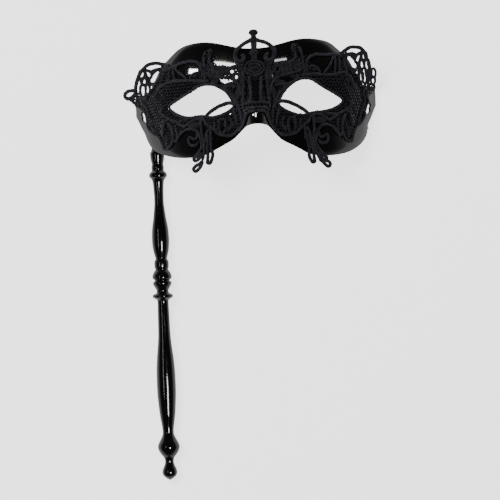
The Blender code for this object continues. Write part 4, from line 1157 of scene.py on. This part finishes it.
def build_lights(shell, handle):
    """A window high on the left with its far wing and a thin bar at the right for the shell, a
    soft key for the lace, and two strips for the handle."""
    area_light("soft_key", 21.0, (0.75, 0.72), (-0.44, 0.31), 1.7, False)
    on_shell = [area_light("window", 75.0, (0.66, 0.62), (-0.42, 0.265), 1.7),
                area_light("window_wing", 16.0, (0.30, 0.14), (-1.74, 0.46), 1.6),
                area_light("bar", 0.9, (0.34, 0.04), (0.345, 0.485), 1.7)]
    on_handle = [area_light("strip_left", 2.2, (0.06, 0.80), (-0.62, 0.0), 1.7),
                 area_light("strip_right", 26.0, (0.26, 0.56), (0.26, -0.25), 1.7)]
    for name, lights, piece in (("lit_by_window", on_shell, shell),
                                ("lit_by_strips", on_handle, handle)):
        lit = bpy.data.collections.new(name)
        lit.objects.link(piece)
        for light in lights:
            light.light_linking.receiver_collection = lit
    for light in on_handle:
        light.location.y -= 0.12


def build_world():
    """Soft studio surroundings: pale towards the horizon, dark overhead."""
    world = bpy.data.worlds.new("studio")
    bpy.context.scene.world = world
    world.use_nodes = True
    tree = world.node_tree
    coord = node(tree, "ShaderNodeTexCoord")
    split = node(tree, "ShaderNodeSeparateXYZ")
    ramp = node(tree, "ShaderNodeValToRGB")
    ramp.color_ramp.elements[0].position = 0.0
    ramp.color_ramp.elements[0].color = (1.0, 1.0, 1.0, 1.0)
    ramp.color_ramp.elements[1].position = 1.0
    ramp.color_ramp.elements[1].color = (0.05, 0.05, 0.054, 1.0)
    for position, level in ((0.10, 0.46), (0.24, 0.15), (0.50, 0.07)):
        stop = ramp.color_ramp.elements.new(position)
        stop.color = (level, level, level, 1.0)
    tree.links.new(coord.outputs["Generated"], split.inputs[0])
    tree.links.new(split.outputs["Z"], ramp.inputs["Fac"])
    tree.links.new(ramp.outputs["Color"], tree.nodes["Background"].inputs["Color"])
    tree.nodes["Background"].inputs["Strength"].default_value = 0.55


def build_camera():
    """The camera straight above the table, turned a little in its own plane."""
    data = bpy.data.cameras.new("overhead")
    data.lens = CAMERA_LENS
    data.clip_end = 10.0
    camera = bpy.data.objects.new("overhead", data)
    bpy.context.scene.collection.objects.link(camera)
    camera.location = (CAMERA_PLAN[0] + PLAN_SHIFT[0], CAMERA_PLAN[1] + PLAN_SHIFT[1],
                       CAMERA_HEIGHT)
    camera.rotation_euler = (0.0, 0.0, -math.radians(CAMERA_TURN))
    bpy.context.scene.camera = camera


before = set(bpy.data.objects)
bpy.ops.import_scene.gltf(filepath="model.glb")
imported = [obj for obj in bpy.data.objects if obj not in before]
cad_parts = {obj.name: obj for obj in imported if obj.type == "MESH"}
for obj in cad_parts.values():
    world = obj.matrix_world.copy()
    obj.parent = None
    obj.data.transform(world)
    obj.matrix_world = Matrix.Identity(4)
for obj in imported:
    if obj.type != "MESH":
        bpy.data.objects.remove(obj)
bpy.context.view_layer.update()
handle_low, handle_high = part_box("handle")
PLAN_SHIFT = np.array([(handle_low[0] + handle_high[0]) / 2 - HANDLE_U * HALF_WIDTH,
                       handle_high[1] - HANDLE_START_V * HEIGHT - HANDLE_TANG])
build_camera()
build_world()
build_floor()

MOULDING = moulding_group()
STITCHES = stitch_group()
SHELL_GLOSS = gloss_material("moulded_black", (0.0042, 0.0041, 0.0046), 0.05, 0.03, 55.0, 0.07)
SHELL_INSIDE = gloss_material("moulded_inside", (0.006, 0.006, 0.006), 0.32, 0.20, 90.0, 0.25)
HANDLE_GLOSS = gloss_material("lacquered_black", (0.0040, 0.0040, 0.0045), 0.09, 0.10, 120.0,
                              0.12)
# Each thread's dark and light colours: the dark one is painted shade in the grooves between the wraps, the light
# one a painted highlight on their crests, with a random tone between
CORD_THREADS = thread_material("corded_thread", (0.0082, 0.0076, 0.0100), (0.058, 0.0540, 0.068),
                               2600.0, 1.0, 0.75, 0.22)
NET_THREADS = thread_material("net_thread", (0.0052, 0.0049, 0.0064), (0.030, 0.0282, 0.036),
                              2100.0, 1.0, 0.85, 0.18)
SATIN = thread_material("satin_stitch", (0.0072, 0.0068, 0.0086), (0.044, 0.0415, 0.051), 4200.0,
                        0.0, 0.45, 0.15)
GLUE = glue_material()

NET_EDGE = np.vstack([place(np.array(NET_OUTLINE), 1), place(np.array(NET_OUTLINE), -1)[::-1]])

shell = build_shell()
handle = build_handle()
glue = build_glue()
lace = build_lace() + build_crest()
for piece in [shell, handle, glue] + lace:
    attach(piece, "root")
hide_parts("mask_shell")
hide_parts("handle")
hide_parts("glue_bed")
for piece in lace:
    if piece.name.endswith("_left"):
        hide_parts("lace_left")
    elif piece.name.endswith("_right"):
        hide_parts("lace_right")
    else:
        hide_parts("lace_crest")

build_lights(shell, handle)
